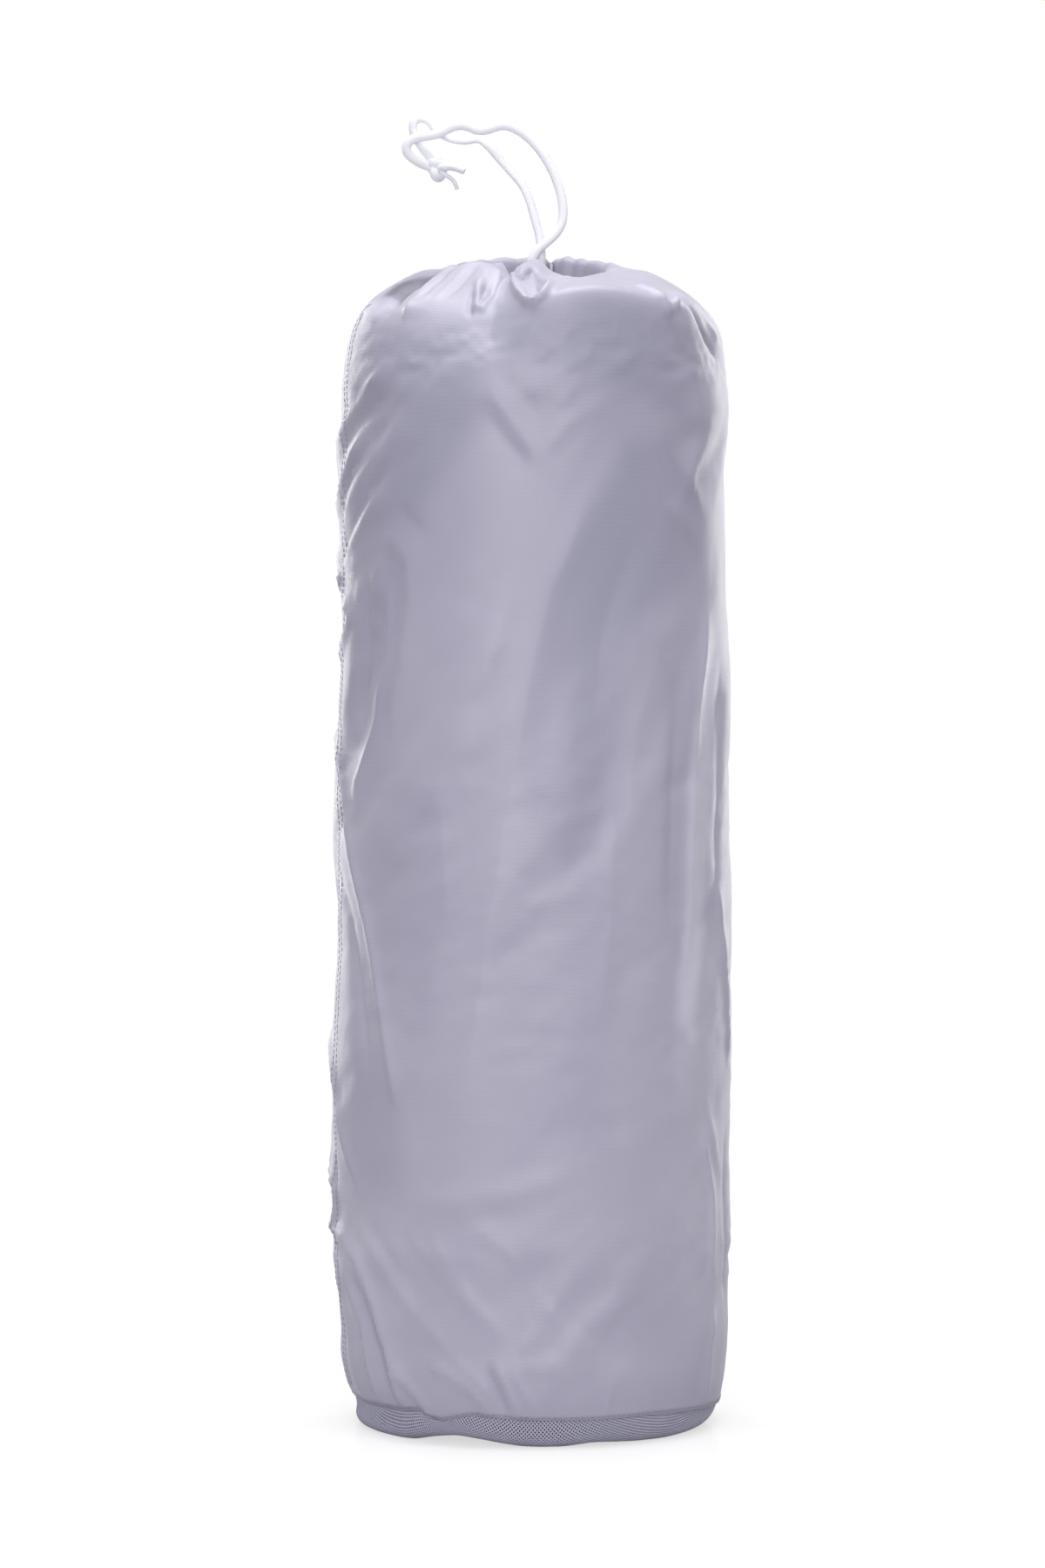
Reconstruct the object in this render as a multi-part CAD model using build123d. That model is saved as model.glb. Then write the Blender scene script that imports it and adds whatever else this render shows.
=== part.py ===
from build123d import *
import math
import os

# A tall drawstring bag: a nylon tube sewn to a round mesh base, with its top
# edge hemmed into a channel and drawn in by a cord whose two ends are knotted
# together above the mouth.  Millimetres, +Z up, the origin on the floor under
# the centre of the base, the front towards -Y.

os.makedirs("parts", exist_ok=True)

# The bag as it stands, filled out to its round shape
bag_height = 600.0  # floor to the crest of the gathered top
wall_radius = 100.5  # outside of the nylon tube
cloth = 1.0  # nylon, counted with its crinkle
mesh_thickness = 1.0

# Base: a mesh disc turned up at its edge to meet the nylon
seam_height = 13.0  # where the nylon stops and the mesh begins
seam_tuck = 5.0  # the seam lies inside the wall by this
foot_tuck = 4.0  # and the mesh's foot inside the seam
foot_round = 6.0
skirt_height = 40.0  # the nylon has its full width from here up
skirt_round = 60.0

# Top: the wall leans in to a line where gathers begin, and then come the
# shoulder, dome, crest and the throat that the cord draws in
lean_height = 36.0  # of the wall that leans in below the gathers
lean_round = 200.0
gather_tuck = 2.2  # the gathers begin inside the wall by this
gather_height = 27.2  # from there up to the shoulder's corner
gather_round = 90.0
shoulder_tuck = 4.8  # the shoulder lies inside the start of the gathers
shoulder_round = 24.0
dome_slope = 30.5  # degrees up towards the middle
crest_radius = 44.0
crest_round = 10.0
mouth_slope = 42.0  # degrees down into the throat
throat_radius = 26.0
throat_round = 8.0

# Hem channel round the throat, and the cord in it
channel_height = 14.0
channel_wall = 1.0
channel_round = 2.5
channel_below_bend = 4.0  # the throat's bend to the channel's top
buttonhole_width = 8.6
buttonhole_height = 6.4
cord_diameter = 4.2
cord_clearance = 0.3  # cord to what holds or guides it
exit_bend_run = 6.6  # of the cord beside each buttonhole, where it turns into the channel
ring_steps = 22

# Seams
sewn_gap = 0.1  # between two cloths that are only sewn together
binding_width = 12.0
binding_thickness = 1.0
allowance_width = 10.0
allowance_thickness = 1.2
seam_azimuth = 193.0  # degrees from +X, a little forward of the left side
thread = 0.4
stitch_width = 0.8
side_row_spacing = 6.0
side_seam_in_gathers = 14.0  # above this the gathers swallow the side seam
hem_stitch_above_channel = 1.2
base_stitch_above_seam = 2.0

# Knot that ties the two cord ends together, its height counted from the crest
knot_centre = (-48.8, -1.0, 44.4)
knot_half_sizes = (6.6, 5.4, 6.4)


def offset_corners(points, distance):
    """Corners of the line that runs `distance` to the left of another one.

    Points are (radius, height).  A steep end stays at its height and a flat
    end at its radius, so that neighbouring pieces meet face to face.
    """
    moved = []
    for (r0, z0), (r1, z1) in zip(points, points[1:]):
        length = math.hypot(r1 - r0, z1 - z0)
        dr, dz = (r1 - r0) / length, (z1 - z0) / length
        moved.append((r0 - dz * distance, z0 + dr * distance, dr, dz))

    def on_end(line, end):
        r, z, dr, dz = line
        if abs(dz) > abs(dr):
            return (r + (end[1] - z) * dr / dz, end[1])
        return (end[0], z + (end[0] - r) * dz / dr)

    corners = [on_end(moved[0], points[0])]
    for (ra, za, dra, dza), (rb, zb, drb, dzb) in zip(moved, moved[1:]):
        along = ((rb - ra) * dzb - (zb - za) * drb) / (dra * dzb - dza * drb)
        corners.append((ra + along * dra, za + along * dza))
    corners.append(on_end(moved[-1], points[-1]))
    return corners


def turn_of(before, corner, after):
    """How far a line turns to the left at a corner, in degrees."""
    into = math.atan2(corner[1] - before[1], corner[0] - before[0])
    out = math.atan2(after[1] - corner[1], after[0] - corner[0])
    return (math.degrees(out - into) + 180) % 360 - 180


def rounded_line(points, radii):
    """Straight runs between (radius, height) corners, with an arc at each corner.

    An arc is limited by the runs beside it.
    """
    places = [(r, 0, z) for r, z in points]
    if not radii:
        return Line(*places)
    limits = []
    for before, corner, after in zip(points, points[1:], points[2:]):
        shorter_run = min(math.dist(before, corner), math.dist(corner, after))
        half_turn = math.radians(abs(turn_of(before, corner, after))) / 2
        limits.append(0.49 * shorter_run / math.tan(half_turn))
    return FilletPolyline(*places, radius=[min(pair) for pair in zip(radii, limits)])


def turned_shell(points, radii, thickness, arc=360.0, azimuth=0.0):
    """A wall turned about +Z, its outer side on the given corners."""
    inner_points = offset_corners(points, thickness)
    turns = [turn_of(*points[i : i + 3]) for i in range(len(radii))]
    inner_radii = [
        radius - math.copysign(thickness, turn) for radius, turn in zip(radii, turns)
    ]
    outer = rounded_line(points, radii)
    inner = rounded_line(inner_points, inner_radii)
    ends = [Line(outer @ 0, inner @ 0), Line(outer @ 1, inner @ 1)]
    face = make_face([*outer.edges(), *inner.edges(), *ends])
    wall = revolve(face, axis=Axis.Z, revolution_arc=arc)
    return Rot(0, 0, azimuth) * wall


def on_run(start, end, height):
    """The point at a height on the straight run between two corners."""
    share = (height - start[1]) / (end[1] - start[1])
    return (start[0] + share * (end[0] - start[0]), height)


def save(shape, node):
    shape.label = node
    export_step(shape, f"parts/{node}.step")
    print(f"{node}: {shape.volume / 1000:.2f} cm3")


# Outline of the nylon, from the base seam up the wall, over the crest and
# down the throat.  The crest's corner stands above the bag's height by what
# its round takes off.
crest_lift = math.cos(math.radians((mouth_slope - dome_slope) / 2))
crest_lift /= math.cos(math.radians((mouth_slope + dome_slope) / 2))
crest_corner = bag_height + crest_round * (crest_lift - 1)
gather_radius = wall_radius - gather_tuck
shoulder_radius = gather_radius - shoulder_tuck
dome_drop = (shoulder_radius - crest_radius) * math.tan(math.radians(dome_slope))
throat_drop = (crest_radius - throat_radius) * math.tan(math.radians(mouth_slope))
channel_top = crest_corner - throat_drop - channel_below_bend
channel_bottom = channel_top - channel_height
shoulder_level = crest_corner - dome_drop
gather_level = shoulder_level - gather_height
seam_radius = wall_radius - seam_tuck

seam = (seam_radius, seam_height)
skirt = (wall_radius, skirt_height)
wall_top = (wall_radius, gather_level - lean_height)
gather = (gather_radius, gather_level)
shoulder = (shoulder_radius, shoulder_level)
crest = (crest_radius, crest_corner)
throat_top = (throat_radius, crest_corner - throat_drop)
throat_bottom = (throat_radius, channel_bottom)

# Cord routes, their heights counted from the crest.  Each strand stands
# upright in the throat and reaches 19 mm below its buttonhole, so that it can
# be drawn up by 18 mm.  Above the mouth it leans out, runs to the left and
# comes down to the knot.
front_strand = [
    (-3.2, -16.4, -44.0),
    (-3.3, -16.9, -32.5),
    (-3.2, -17.2, -21.0),
    (-2.4, -17.3, -9.5),
    (1.2, -17.2, 0.6),
    (8.6, -16.5, 7.6),
    (14.2, -15.2, 15.6),
    (15.8, -13.4, 26.0),
    (13.2, -11.4, 38.0),
    (6.4, -9.6, 49.8),
    (-3.4, -8.0, 59.8),
    (-14.6, -6.8, 65.0),
    (-26.0, -5.9, 65.4),
    (-36.2, -5.2, 66.4),
    (-45.2, -4.6, 64.2),
    (-53.2, -4.2, 61.8),
    (-60.6, -3.9, 61.4),
    (-65.4, -3.5, 58.0),
    (-65.2, -3.0, 52.4),
    (-60.4, -2.4, 48.2),
    (-55.4, -1.8, 45.6),
    (-50.6, -1.4, 44.8),
]
rear_strand = [
    (3.4, -12.0, -44.0),
    (3.5, -12.3, -32.5),
    (3.4, -12.4, -21.0),
    (3.0, -12.2, -9.5),
    (2.4, -11.6, 1.6),
    (0.6, -10.4, 12.4),
    (-2.8, -8.6, 24.0),
    (-7.2, -6.4, 35.2),
    (-13.4, -3.8, 45.2),
    (-20.0, -1.2, 54.2),
    (-28.2, 0.8, 59.8),
    (-37.0, 1.8, 60.2),
    (-44.8, 2.2, 61.6),
    (-50.4, 2.2, 66.4),
    (-54.2, 2.0, 71.6),
    (-58.8, 1.8, 73.4),
    (-61.8, 1.6, 69.6),
    (-61.4, 1.4, 63.4),
    (-58.6, 1.0, 57.4),
    (-54.6, 0.6, 51.8),
    (-50.8, 0.2, 47.0),
]
upper_tail = [(-45.0, -2.2, 45.6), (-40.2, -3.4, 46.0), (-35.6, -4.2, 44.6)]
lower_tail = [(-45.2, 0.4, 41.2), (-41.0, 0.8, 38.9), (-38.6, 0.8, 35.0)]


def on_bag(points):
    """Points counted from the crest, at their heights on the bag."""
    return [(x, y, bag_height + z) for x, y, z in points]


def corner_radius(before, corner, after):
    """The largest arc that a corner's two runs allow."""
    before, corner, after = Vector(*before), Vector(*corner), Vector(*after)
    turn = (corner - before).get_angle(after - corner)
    shorter_run = min((corner - before).length, (after - corner).length)
    return 0.45 * shorter_run / math.tan(math.radians(turn) / 2)


def cord_tube(points, name):
    """A round tube along straight runs joined by tangent arcs."""
    radii = [corner_radius(*points[i : i + 3]) for i in range(len(points) - 2)]
    path = FilletPolyline(*points, radius=radii)
    start_plane = Plane(origin=path @ 0, z_dir=path % 0)
    tube = sweep(start_plane * Circle(cord_diameter / 2), path=path)
    expected = math.pi * cord_diameter**2 / 4 * path.length
    listed = ", ".join(f"{radius:.0f}" for radius in radii)
    print(f"{name}: {path.length:.1f} mm, volume / (section x length) {tube.volume / expected:.4f}")
    print(f"  radii {listed}")
    return tube


def at_azimuth(radius, degrees, height):
    angle = math.radians(degrees)
    return (radius * math.cos(angle), radius * math.sin(angle), height)


# Nylon: one cloth, parted where its smooth wall turns into gathers
nylon = turned_shell(
    [seam, skirt, wall_top, gather, shoulder, crest, throat_top, throat_bottom],
    [skirt_round, lean_round, gather_round, shoulder_round, crest_round, throat_round],
    cloth,
)
gather_plane = Plane.XY.offset(gather_level)
body_panel = split(nylon, bisect_by=gather_plane, keep=Keep.BOTTOM)
gathered_crown = split(nylon, bisect_by=gather_plane, keep=Keep.TOP)

# The cord leaves the channel through two buttonholes beside its strands
buttonhole_level = (channel_bottom + channel_top) / 2
strand_feet = [
    min(on_bag(strand), key=lambda place: abs(place[2] - buttonhole_level))
    for strand in (front_strand, rear_strand)
]
exit_azimuths = [math.degrees(math.atan2(y, x)) for x, y, _ in strand_feet]
exit_radii = [
    math.hypot(x, y) + cord_diameter / 2 + cord_clearance for x, y, _ in strand_feet
]
for azimuth in exit_azimuths:
    place = Pos(0, 0, buttonhole_level) * Rot(0, 0, azimuth) * Pos(throat_radius, 0, 0)
    gathered_crown -= place * Box(4 * cloth, buttonhole_width, buttonhole_height)

# Channel: the hem turned back behind the throat and stitched to it
channel_inside = throat_radius + cloth
channel_outside = channel_inside + 2 * cord_clearance + cord_diameter + channel_wall
mouth_channel = turned_shell(
    [
        (channel_inside, channel_bottom),
        (channel_outside, channel_bottom),
        (channel_outside, channel_top),
        (channel_inside, channel_top),
    ],
    [channel_round, channel_round],
    channel_wall,
)

# Cord round the channel, from one buttonhole to the other
ring_radius = channel_inside + cord_clearance + cord_diameter / 2
front_azimuth, rear_azimuth = exit_azimuths
exit_bend = math.degrees(exit_bend_run / ring_radius)
ring_start = front_azimuth - exit_bend
ring_turn = (rear_azimuth + exit_bend - ring_start) % 360 - 360
ring_corner = ring_radius / math.cos(math.radians(ring_turn / ring_steps / 2))
ring_azimuths = [
    ring_start + ring_turn * (step + 0.5) / ring_steps for step in range(ring_steps)
]
channel_route = [
    at_azimuth(exit_radii[0], front_azimuth, buttonhole_level),
    at_azimuth(ring_radius, front_azimuth, buttonhole_level),
    *[at_azimuth(ring_corner, azimuth, buttonhole_level) for azimuth in ring_azimuths],
    at_azimuth(ring_radius, rear_azimuth, buttonhole_level),
    at_azimuth(exit_radii[1], rear_azimuth, buttonhole_level),
]

# Mesh base and the tape that binds its seam inside the bag
foot = (seam_radius - foot_tuck, 0)
mesh_base = turned_shell([(0, 0), foot, seam], [foot_round], mesh_thickness)
binding_line = [
    on_run(foot, seam, seam_height - binding_width / 2),
    seam,
    on_run(seam, skirt, seam_height + binding_width / 2),
]
base_binding = turned_shell(
    offset_corners(binding_line, cloth + sewn_gap), [skirt_round], binding_thickness
)

# Side seam: a felled allowance inside, two rows of thread outside
allowance_foot = seam_height + binding_width / 2 + cord_clearance
seam_line = [
    on_run(seam, skirt, allowance_foot),
    skirt,
    wall_top,
    gather,
    on_run(gather, shoulder, gather_level + side_seam_in_gathers),
]
seam_rounds = [skirt_round, lean_round, gather_round]


def degrees_round_wall(width):
    return math.degrees(width / wall_radius)


allowance_arc = degrees_round_wall(allowance_width)
side_seam_allowance = turned_shell(
    offset_corners(seam_line, cloth + sewn_gap),
    [radius - cloth - sewn_gap for radius in seam_rounds],
    allowance_thickness,
    allowance_arc,
    seam_azimuth - allowance_arc / 2,
)
stitch_arc = degrees_round_wall(stitch_width)
side_seam_thread = Compound(
    [
        turned_shell(
            offset_corners(seam_line, -thread - sewn_gap),
            [radius + thread + sewn_gap for radius in seam_rounds],
            thread,
            stitch_arc,
            seam_azimuth + side * degrees_round_wall(side_row_spacing) / 2 - stitch_arc / 2,
        )
        for side in (-1, 1)
    ]
)
base_stitch_low = seam_height + base_stitch_above_seam
base_stitch_line = [
    on_run(seam, skirt, base_stitch_low),
    on_run(seam, skirt, base_stitch_low + stitch_width),
]
base_thread = turned_shell(offset_corners(base_stitch_line, -thread - sewn_gap), [], thread)
hem_stitch_low = channel_top + hem_stitch_above_channel
channel_thread = turned_shell(
    [
        (throat_radius - sewn_gap - thread, hem_stitch_low + stitch_width),
        (throat_radius - sewn_gap - thread, hem_stitch_low),
    ],
    [],
    thread,
)

# Knot and the two cut ends that stand out of it
knot_core = scale(Sphere(1), by=knot_half_sizes)
end_knot = Pos(*on_bag([knot_centre])[0]) * knot_core
knot_tails = Compound(
    [
        cord_tube(on_bag(upper_tail), "upper tail"),
        cord_tube(on_bag(lower_tail), "lower tail"),
    ]
)

save(body_panel, "body_panel")
save(gathered_crown, "gathered_crown")
save(mouth_channel, "mouth_channel")
save(mesh_base, "mesh_base")
save(base_binding, "base_binding")
save(side_seam_allowance, "side_seam_allowance")
save(side_seam_thread, "side_seam_thread")
save(base_thread, "base_thread")
save(channel_thread, "channel_thread")
save(cord_tube(channel_route, "cord in channel"), "drawcord_in_channel")
save(cord_tube(on_bag(front_strand), "front strand"), "drawcord_front_strand")
save(cord_tube(on_bag(rear_strand), "rear strand"), "drawcord_rear_strand")
save(end_knot, "end_knot")
save(knot_tails, "knot_tails")
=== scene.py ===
import bpy
import math
import numpy as np
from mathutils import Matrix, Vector


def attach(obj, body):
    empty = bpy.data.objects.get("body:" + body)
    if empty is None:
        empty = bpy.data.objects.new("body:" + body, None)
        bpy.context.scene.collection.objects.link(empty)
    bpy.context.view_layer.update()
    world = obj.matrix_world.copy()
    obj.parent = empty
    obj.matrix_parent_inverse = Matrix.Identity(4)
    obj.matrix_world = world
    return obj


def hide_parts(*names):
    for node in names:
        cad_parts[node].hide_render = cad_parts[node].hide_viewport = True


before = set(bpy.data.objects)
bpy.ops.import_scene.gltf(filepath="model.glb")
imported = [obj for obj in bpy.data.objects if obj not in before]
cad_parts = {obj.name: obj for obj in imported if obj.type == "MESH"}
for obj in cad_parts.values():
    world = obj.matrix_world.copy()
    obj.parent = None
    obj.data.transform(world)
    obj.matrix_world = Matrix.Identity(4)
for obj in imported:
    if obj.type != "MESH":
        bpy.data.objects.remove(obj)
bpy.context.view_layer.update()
print("stage: frame loaded")

# Azimuths are in degrees from the front, -Y, and grow towards +X.
# Heights and sizes in the dictionaries are in millimetres unless a name says metres.
mm = 0.001

# The camera looks straight along +Y from the height of the middle of the bag.
cameraView = {"away": 2.143, "height": 0.3285, "aside": -0.0054, "lens": 95.3}


def makeCamera(view):
    data = bpy.data.cameras.new("camera")
    data.sensor_fit = "AUTO"
    data.sensor_width = 36
    data.lens = view["lens"]
    data.clip_start = 0.05
    data.clip_end = 30
    camera = bpy.data.objects.new("camera", data)
    camera.location = (view["aside"], -view["away"], view["height"])
    camera.rotation_euler = (math.pi / 2, 0, 0)
    bpy.context.collection.objects.link(camera)
    bpy.context.scene.camera = camera


makeCamera(cameraView)


# small helpers that every piece uses
def linkObject(name, data):
    piece = bpy.data.objects.new(name, data)
    bpy.context.collection.objects.link(piece)
    return piece


def meshObject(name, points, faces, material=None):
    mesh = bpy.data.meshes.new(name)
    mesh.from_pydata([tuple(p) for p in points], [], [tuple(f) for f in faces])
    mesh.update()
    mesh.shade_smooth()
    if material:
        mesh.materials.append(material)
    return linkObject(name, mesh)


def plainMesh(piece, name):
    # the evaluated shape of a piece as a mesh of its own, with no modifier left
    graph = bpy.context.evaluated_depsgraph_get()
    mesh = bpy.data.meshes.new_from_object(piece.evaluated_get(graph))
    mesh.name = name
    bpy.data.objects.remove(piece)
    mesh.shade_smooth()
    return linkObject(name, mesh)


nodeGrid = {"perRow": 10, "across": 220, "down": 320}


def feedSocket(tree, socket, value):
    # a socket takes another node's output or a fixed value
    if isinstance(value, bpy.types.NodeSocket):
        tree.links.new(value, socket)
    else:
        socket.default_value = (*value, 1) if socket.type == "RGBA" else value


def addNode(tree, kind, inputs=None, **settings):
    # nodes stand in rows, in the order in which they are made
    node = tree.nodes.new(kind)
    row, column = divmod(len(tree.nodes) - 1, nodeGrid["perRow"])
    node.location = (column * nodeGrid["across"], -row * nodeGrid["down"])
    for key, value in settings.items():
        setattr(node, key, value)
    for label, value in (inputs or {}).items():
        feedSocket(tree, node.inputs[label], value)
    return node


def calculate(tree, operation, *values):
    return addNode(tree, "ShaderNodeMath", dict(enumerate(values)), operation=operation).outputs[0]


def vectorOf(tree, x, y, z):
    return addNode(tree, "ShaderNodeCombineXYZ", {0: x, 1: y, 2: z}).outputs[0]


def newMaterial(name):
    material = bpy.data.materials.new(name)
    material.use_nodes = True
    material.node_tree.nodes.clear()
    return material


def addSockets(tree, inputs, outputs):
    # the tree's own inputs with their usual values, and its outputs
    for label, kind, value in inputs:
        socket = tree.interface.new_socket(label, in_out="INPUT", socket_type=kind)
        if value is not None:
            socket.default_value = value
    for label, kind in outputs:
        tree.interface.new_socket(label, in_out="OUTPUT", socket_type=kind)
    start = addNode(tree, "NodeGroupInput")
    end = addNode(tree, "NodeGroupOutput")
    return start.outputs, end.inputs


def makeWeaveGroup():
    # plain weave: threads along U and V of a run measured in metres
    group = bpy.data.node_groups.new("plainWeave", "ShaderNodeTree")
    given, result = addSockets(
        group,
        [
            ("Run", "NodeSocketVector", None),
            ("Threads Per Metre", "NodeSocketFloat", 2600.0),
            ("Ripple Per Metre", "NodeSocketFloat", 480.0),
            ("Ripple Share", "NodeSocketFloat", 0.5),
        ],
        [("Height", "NodeSocketFloat"), ("Shade", "NodeSocketFloat")],
    )
    run, pitch = given["Run"], given["Threads Per Metre"]
    split = addNode(group, "ShaderNodeSeparateXYZ", {0: run}).outputs
    across = calculate(group, "MULTIPLY", split[0], pitch)
    along = calculate(group, "MULTIPLY", split[1], pitch)
    warp = calculate(group, "SINE", calculate(group, "MULTIPLY", across, math.pi))
    weft = calculate(group, "SINE", calculate(group, "MULTIPLY", along, math.pi))
    woven = calculate(group, "ABSOLUTE", calculate(group, "MULTIPLY", warp, weft))
    # the weft lies in slightly uneven ripples
    wander = addNode(group, "ShaderNodeTexNoise", {"Vector": run, "Scale": 26.0, "Detail": 2.0})
    level = calculate(group, "MULTIPLY", split[1], given["Ripple Per Metre"])
    level = calculate(group, "ADD", level, calculate(group, "MULTIPLY", wander.outputs[0], 5.0))
    ripple = calculate(group, "SINE", calculate(group, "MULTIPLY", level, 2 * math.pi))
    patches = addNode(group, "ShaderNodeTexNoise", {"Vector": run, "Scale": 9.0})
    here = calculate(group, "MULTIPLY", ripple, patches.outputs[0])
    ripples = calculate(group, "MULTIPLY", here, given["Ripple Share"])
    feedSocket(group, result["Height"], calculate(group, "ADD", woven, ripples))
    # Shade says where the ripples stand; the nylon paints its weft sheen with it
    feedSocket(group, result["Shade"], calculate(group, "MULTIPLY_ADD", ripples, 0.5, 0.5))
    return group


def makeCrinkleGroup():
    # small soft dents and creases of thin coated cloth
    group = bpy.data.node_groups.new("clothCrinkle", "ShaderNodeTree")
    given, result = addSockets(
        group,
        [
            ("Place", "NodeSocketVector", None),
            ("Size", "NodeSocketFloat", 30.0),
            ("Stretch", "NodeSocketFloat", 0.5),
        ],
        [("Height", "NodeSocketFloat"), ("Mask", "NodeSocketFloat")],
    )
    squeeze = vectorOf(group, 1.0, 1.0, given["Stretch"])
    spread = {0: given["Place"], 1: squeeze}
    scaled = addNode(group, "ShaderNodeVectorMath", spread, operation="MULTIPLY").outputs[0]
    dents = {"Vector": scaled, "Scale": given["Size"], "Detail": 3.0, "Distortion": 0.6}
    soft = addNode(group, "ShaderNodeTexNoise", dents).outputs[0]
    wide = calculate(group, "MULTIPLY", given["Size"], 0.45)
    creases = {"Vector": scaled, "Scale": wide, "Detail": 2.0, "Distortion": 1.2}
    folded = addNode(group, "ShaderNodeTexNoise", creases, noise_type="RIDGED_MULTIFRACTAL").outputs[0]
    feedSocket(group, result["Height"], calculate(group, "MULTIPLY_ADD", folded, 0.35, soft))
    feedSocket(group, result["Mask"], soft)
    return group


weaveGroup = makeWeaveGroup()
crinkleGroup = makeCrinkleGroup()


def bumpFrom(tree, height, distance, strength, **under):
    inputs = {"Strength": strength, "Distance": distance, "Height": height, **under}
    return addNode(tree, "ShaderNodeBump", inputs).outputs["Normal"]


def finishMaterial(material, shader):
    addNode(material.node_tree, "ShaderNodeOutputMaterial", {"Surface": shader.outputs[0]})
    return material


def mixColours(tree, share, first, second):
    inputs = {"Factor": share, 6: first, 7: second}
    return addNode(tree, "ShaderNodeMix", inputs, data_type="RGBA").outputs[2]


nylonLook = {
    "airy": (0.452, 0.436, 0.540),  # where the cloth stands off what it holds
    "raised": (0.74, 0.72, 0.83),  # painted highlight, for rims and edges that catch the light
    "tightAndShaded": (0.330, 0.318, 0.420),  # tight over the load, and painted shade in folds, hollows and patches
    "paintedDeepShade": (0.095, 0.088, 0.130),  # painted shade down in the throat and in the deepest hollows
    "thread": (0.8, 0.8, 0.88),  # painted sheen that the ripples of the weft catch
    "weftSheenShare": 0.07,
    "roughness": 0.34,
    "sheen": 0.15,
    "crinkleSize": 34.0,
    "crinkleStretch": 0.55,
    "crinkleDepth": 0.0009,  # metres
    "weaveDepth": 0.00006,
}


def makeNylon(look):
    # the piece's own value leads from the raised colour, a painted highlight, over the airy and the tight
    # colours to the deepest, a painted shade; between airy and tight it is partly the tone of cloth lying
    # tight on the load and partly painted shade
    material = newMaterial("nylonSatin")
    tree = material.node_tree
    run = addNode(tree, "ShaderNodeUVMap", uv_map="clothRun").outputs[0]
    place = addNode(tree, "ShaderNodeTexCoord").outputs["Object"]
    weave = addNode(tree, "ShaderNodeGroup", {"Run": run}, node_tree=weaveGroup).outputs
    sizes = {"Place": place, "Size": look["crinkleSize"], "Stretch": look["crinkleStretch"]}
    crinkle = addNode(tree, "ShaderNodeGroup", sizes, node_tree=crinkleGroup).outputs
    loadToneAndPaintedLight = addNode(tree, "ShaderNodeAttribute", attribute_name="loadToneAndPaintedLight").outputs["Fac"]
    blotch = calculate(tree, "MULTIPLY_ADD", crinkle["Mask"], 0.35, -0.17)
    share = calculate(tree, "ADD", loadToneAndPaintedLight, blotch)
    colour = mixColours(tree, share, look["airy"], look["tightAndShaded"])
    # below 0 the colour turns to the painted highlight, above 1 to the painted shade
    colour = mixColours(tree, calculate(tree, "MULTIPLY", share, -1.0), colour, look["raised"])
    colour = mixColours(tree, calculate(tree, "SUBTRACT", share, 1.0), colour, look["paintedDeepShade"])
    # painted sheen along the ripples of the weft
    paintedWeftSheen = calculate(tree, "MULTIPLY", weave["Shade"], look["weftSheenShare"])
    soft = bumpFrom(tree, crinkle["Height"], look["crinkleDepth"], 0.5)
    finish = {
        "Base Color": mixColours(tree, paintedWeftSheen, colour, look["thread"]),
        "Roughness": calculate(tree, "MULTIPLY_ADD", crinkle["Mask"], 0.10, look["roughness"] - 0.05),
        "Sheen Weight": look["sheen"],
        "Sheen Roughness": 0.5,
        "Specular IOR Level": 0.5,
        "Normal": bumpFrom(tree, weave["Height"], look["weaveDepth"], 0.5, Normal=soft),
    }
    return finishMaterial(material, addNode(tree, "ShaderNodeBsdfPrincipled", finish))


def makeYarn(name, light, dark, perMetre, roughness, fuzz=0.0002):
    # plain spun yarn: short twisted fibres, with a painted highlight on their crowns, where the noise that
    # raises the bump also lightens the colour
    material = newMaterial(name)
    tree = material.node_tree
    place = addNode(tree, "ShaderNodeTexCoord").outputs["Object"]
    spun = {"Vector": place, "Scale": perMetre, "Detail": 4.0}
    fibres = addNode(tree, "ShaderNodeTexNoise", spun).outputs[0]
    finish = {
        "Base Color": mixColours(tree, fibres, dark, light),
        "Roughness": roughness,
        "Sheen Weight": 0.2,
        "Normal": bumpFrom(tree, fibres, fuzz, 0.6),
    }
    return finishMaterial(material, addNode(tree, "ShaderNodeBsdfPrincipled", finish))


nylonMaterial = makeNylon(nylonLook)
meshMaterial = makeYarn("meshYarn", (0.595, 0.58, 0.705), (0.455, 0.44, 0.565), 900.0, 0.5)
tapeMaterial = makeYarn("bindingTape", (0.46, 0.45, 0.54), (0.34, 0.33, 0.42), 700.0, 0.6)
threadMaterial = makeYarn("sewingThread", (0.34, 0.33, 0.42), (0.24, 0.23, 0.31), 1500.0, 0.5)
cordMaterial = makeYarn("braidedCord", (0.90, 0.90, 0.94), (0.87, 0.87, 0.915), 1600.0, 0.6, 0.00005)
print("stage: materials made")


def newGeometryTree(name, inputs):
    tree = bpy.data.node_groups.new(name, "GeometryNodeTree")
    shape = ("Geometry", "NodeSocketGeometry")
    given, result = addSockets(tree, [(*shape, None), *inputs], [shape])
    return tree, given, result


def finishTree(tree, geometry, given, result):
    # real geometry in its material, at the end of every tree
    real = addNode(tree, "GeometryNodeRealizeInstances", {"Geometry": geometry})
    inputs = {"Geometry": real.outputs["Geometry"], "Material": given["Material"]}
    paint = addNode(tree, "GeometryNodeSetMaterial", inputs)
    feedSocket(tree, result["Geometry"], paint.outputs["Geometry"])
    return tree


def useTree(piece, tree, name, **values):
    # run a tree on a piece and keep its result as a plain mesh
    modifier = piece.modifiers.new(tree.name, "NODES")
    modifier.node_group = tree
    identifiers = {item.name: item.identifier for item in tree.interface.items_tree if item.in_out == "INPUT"}
    for label, value in values.items():
        modifier[identifiers[label]] = value
    return plainMesh(piece, name)


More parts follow.
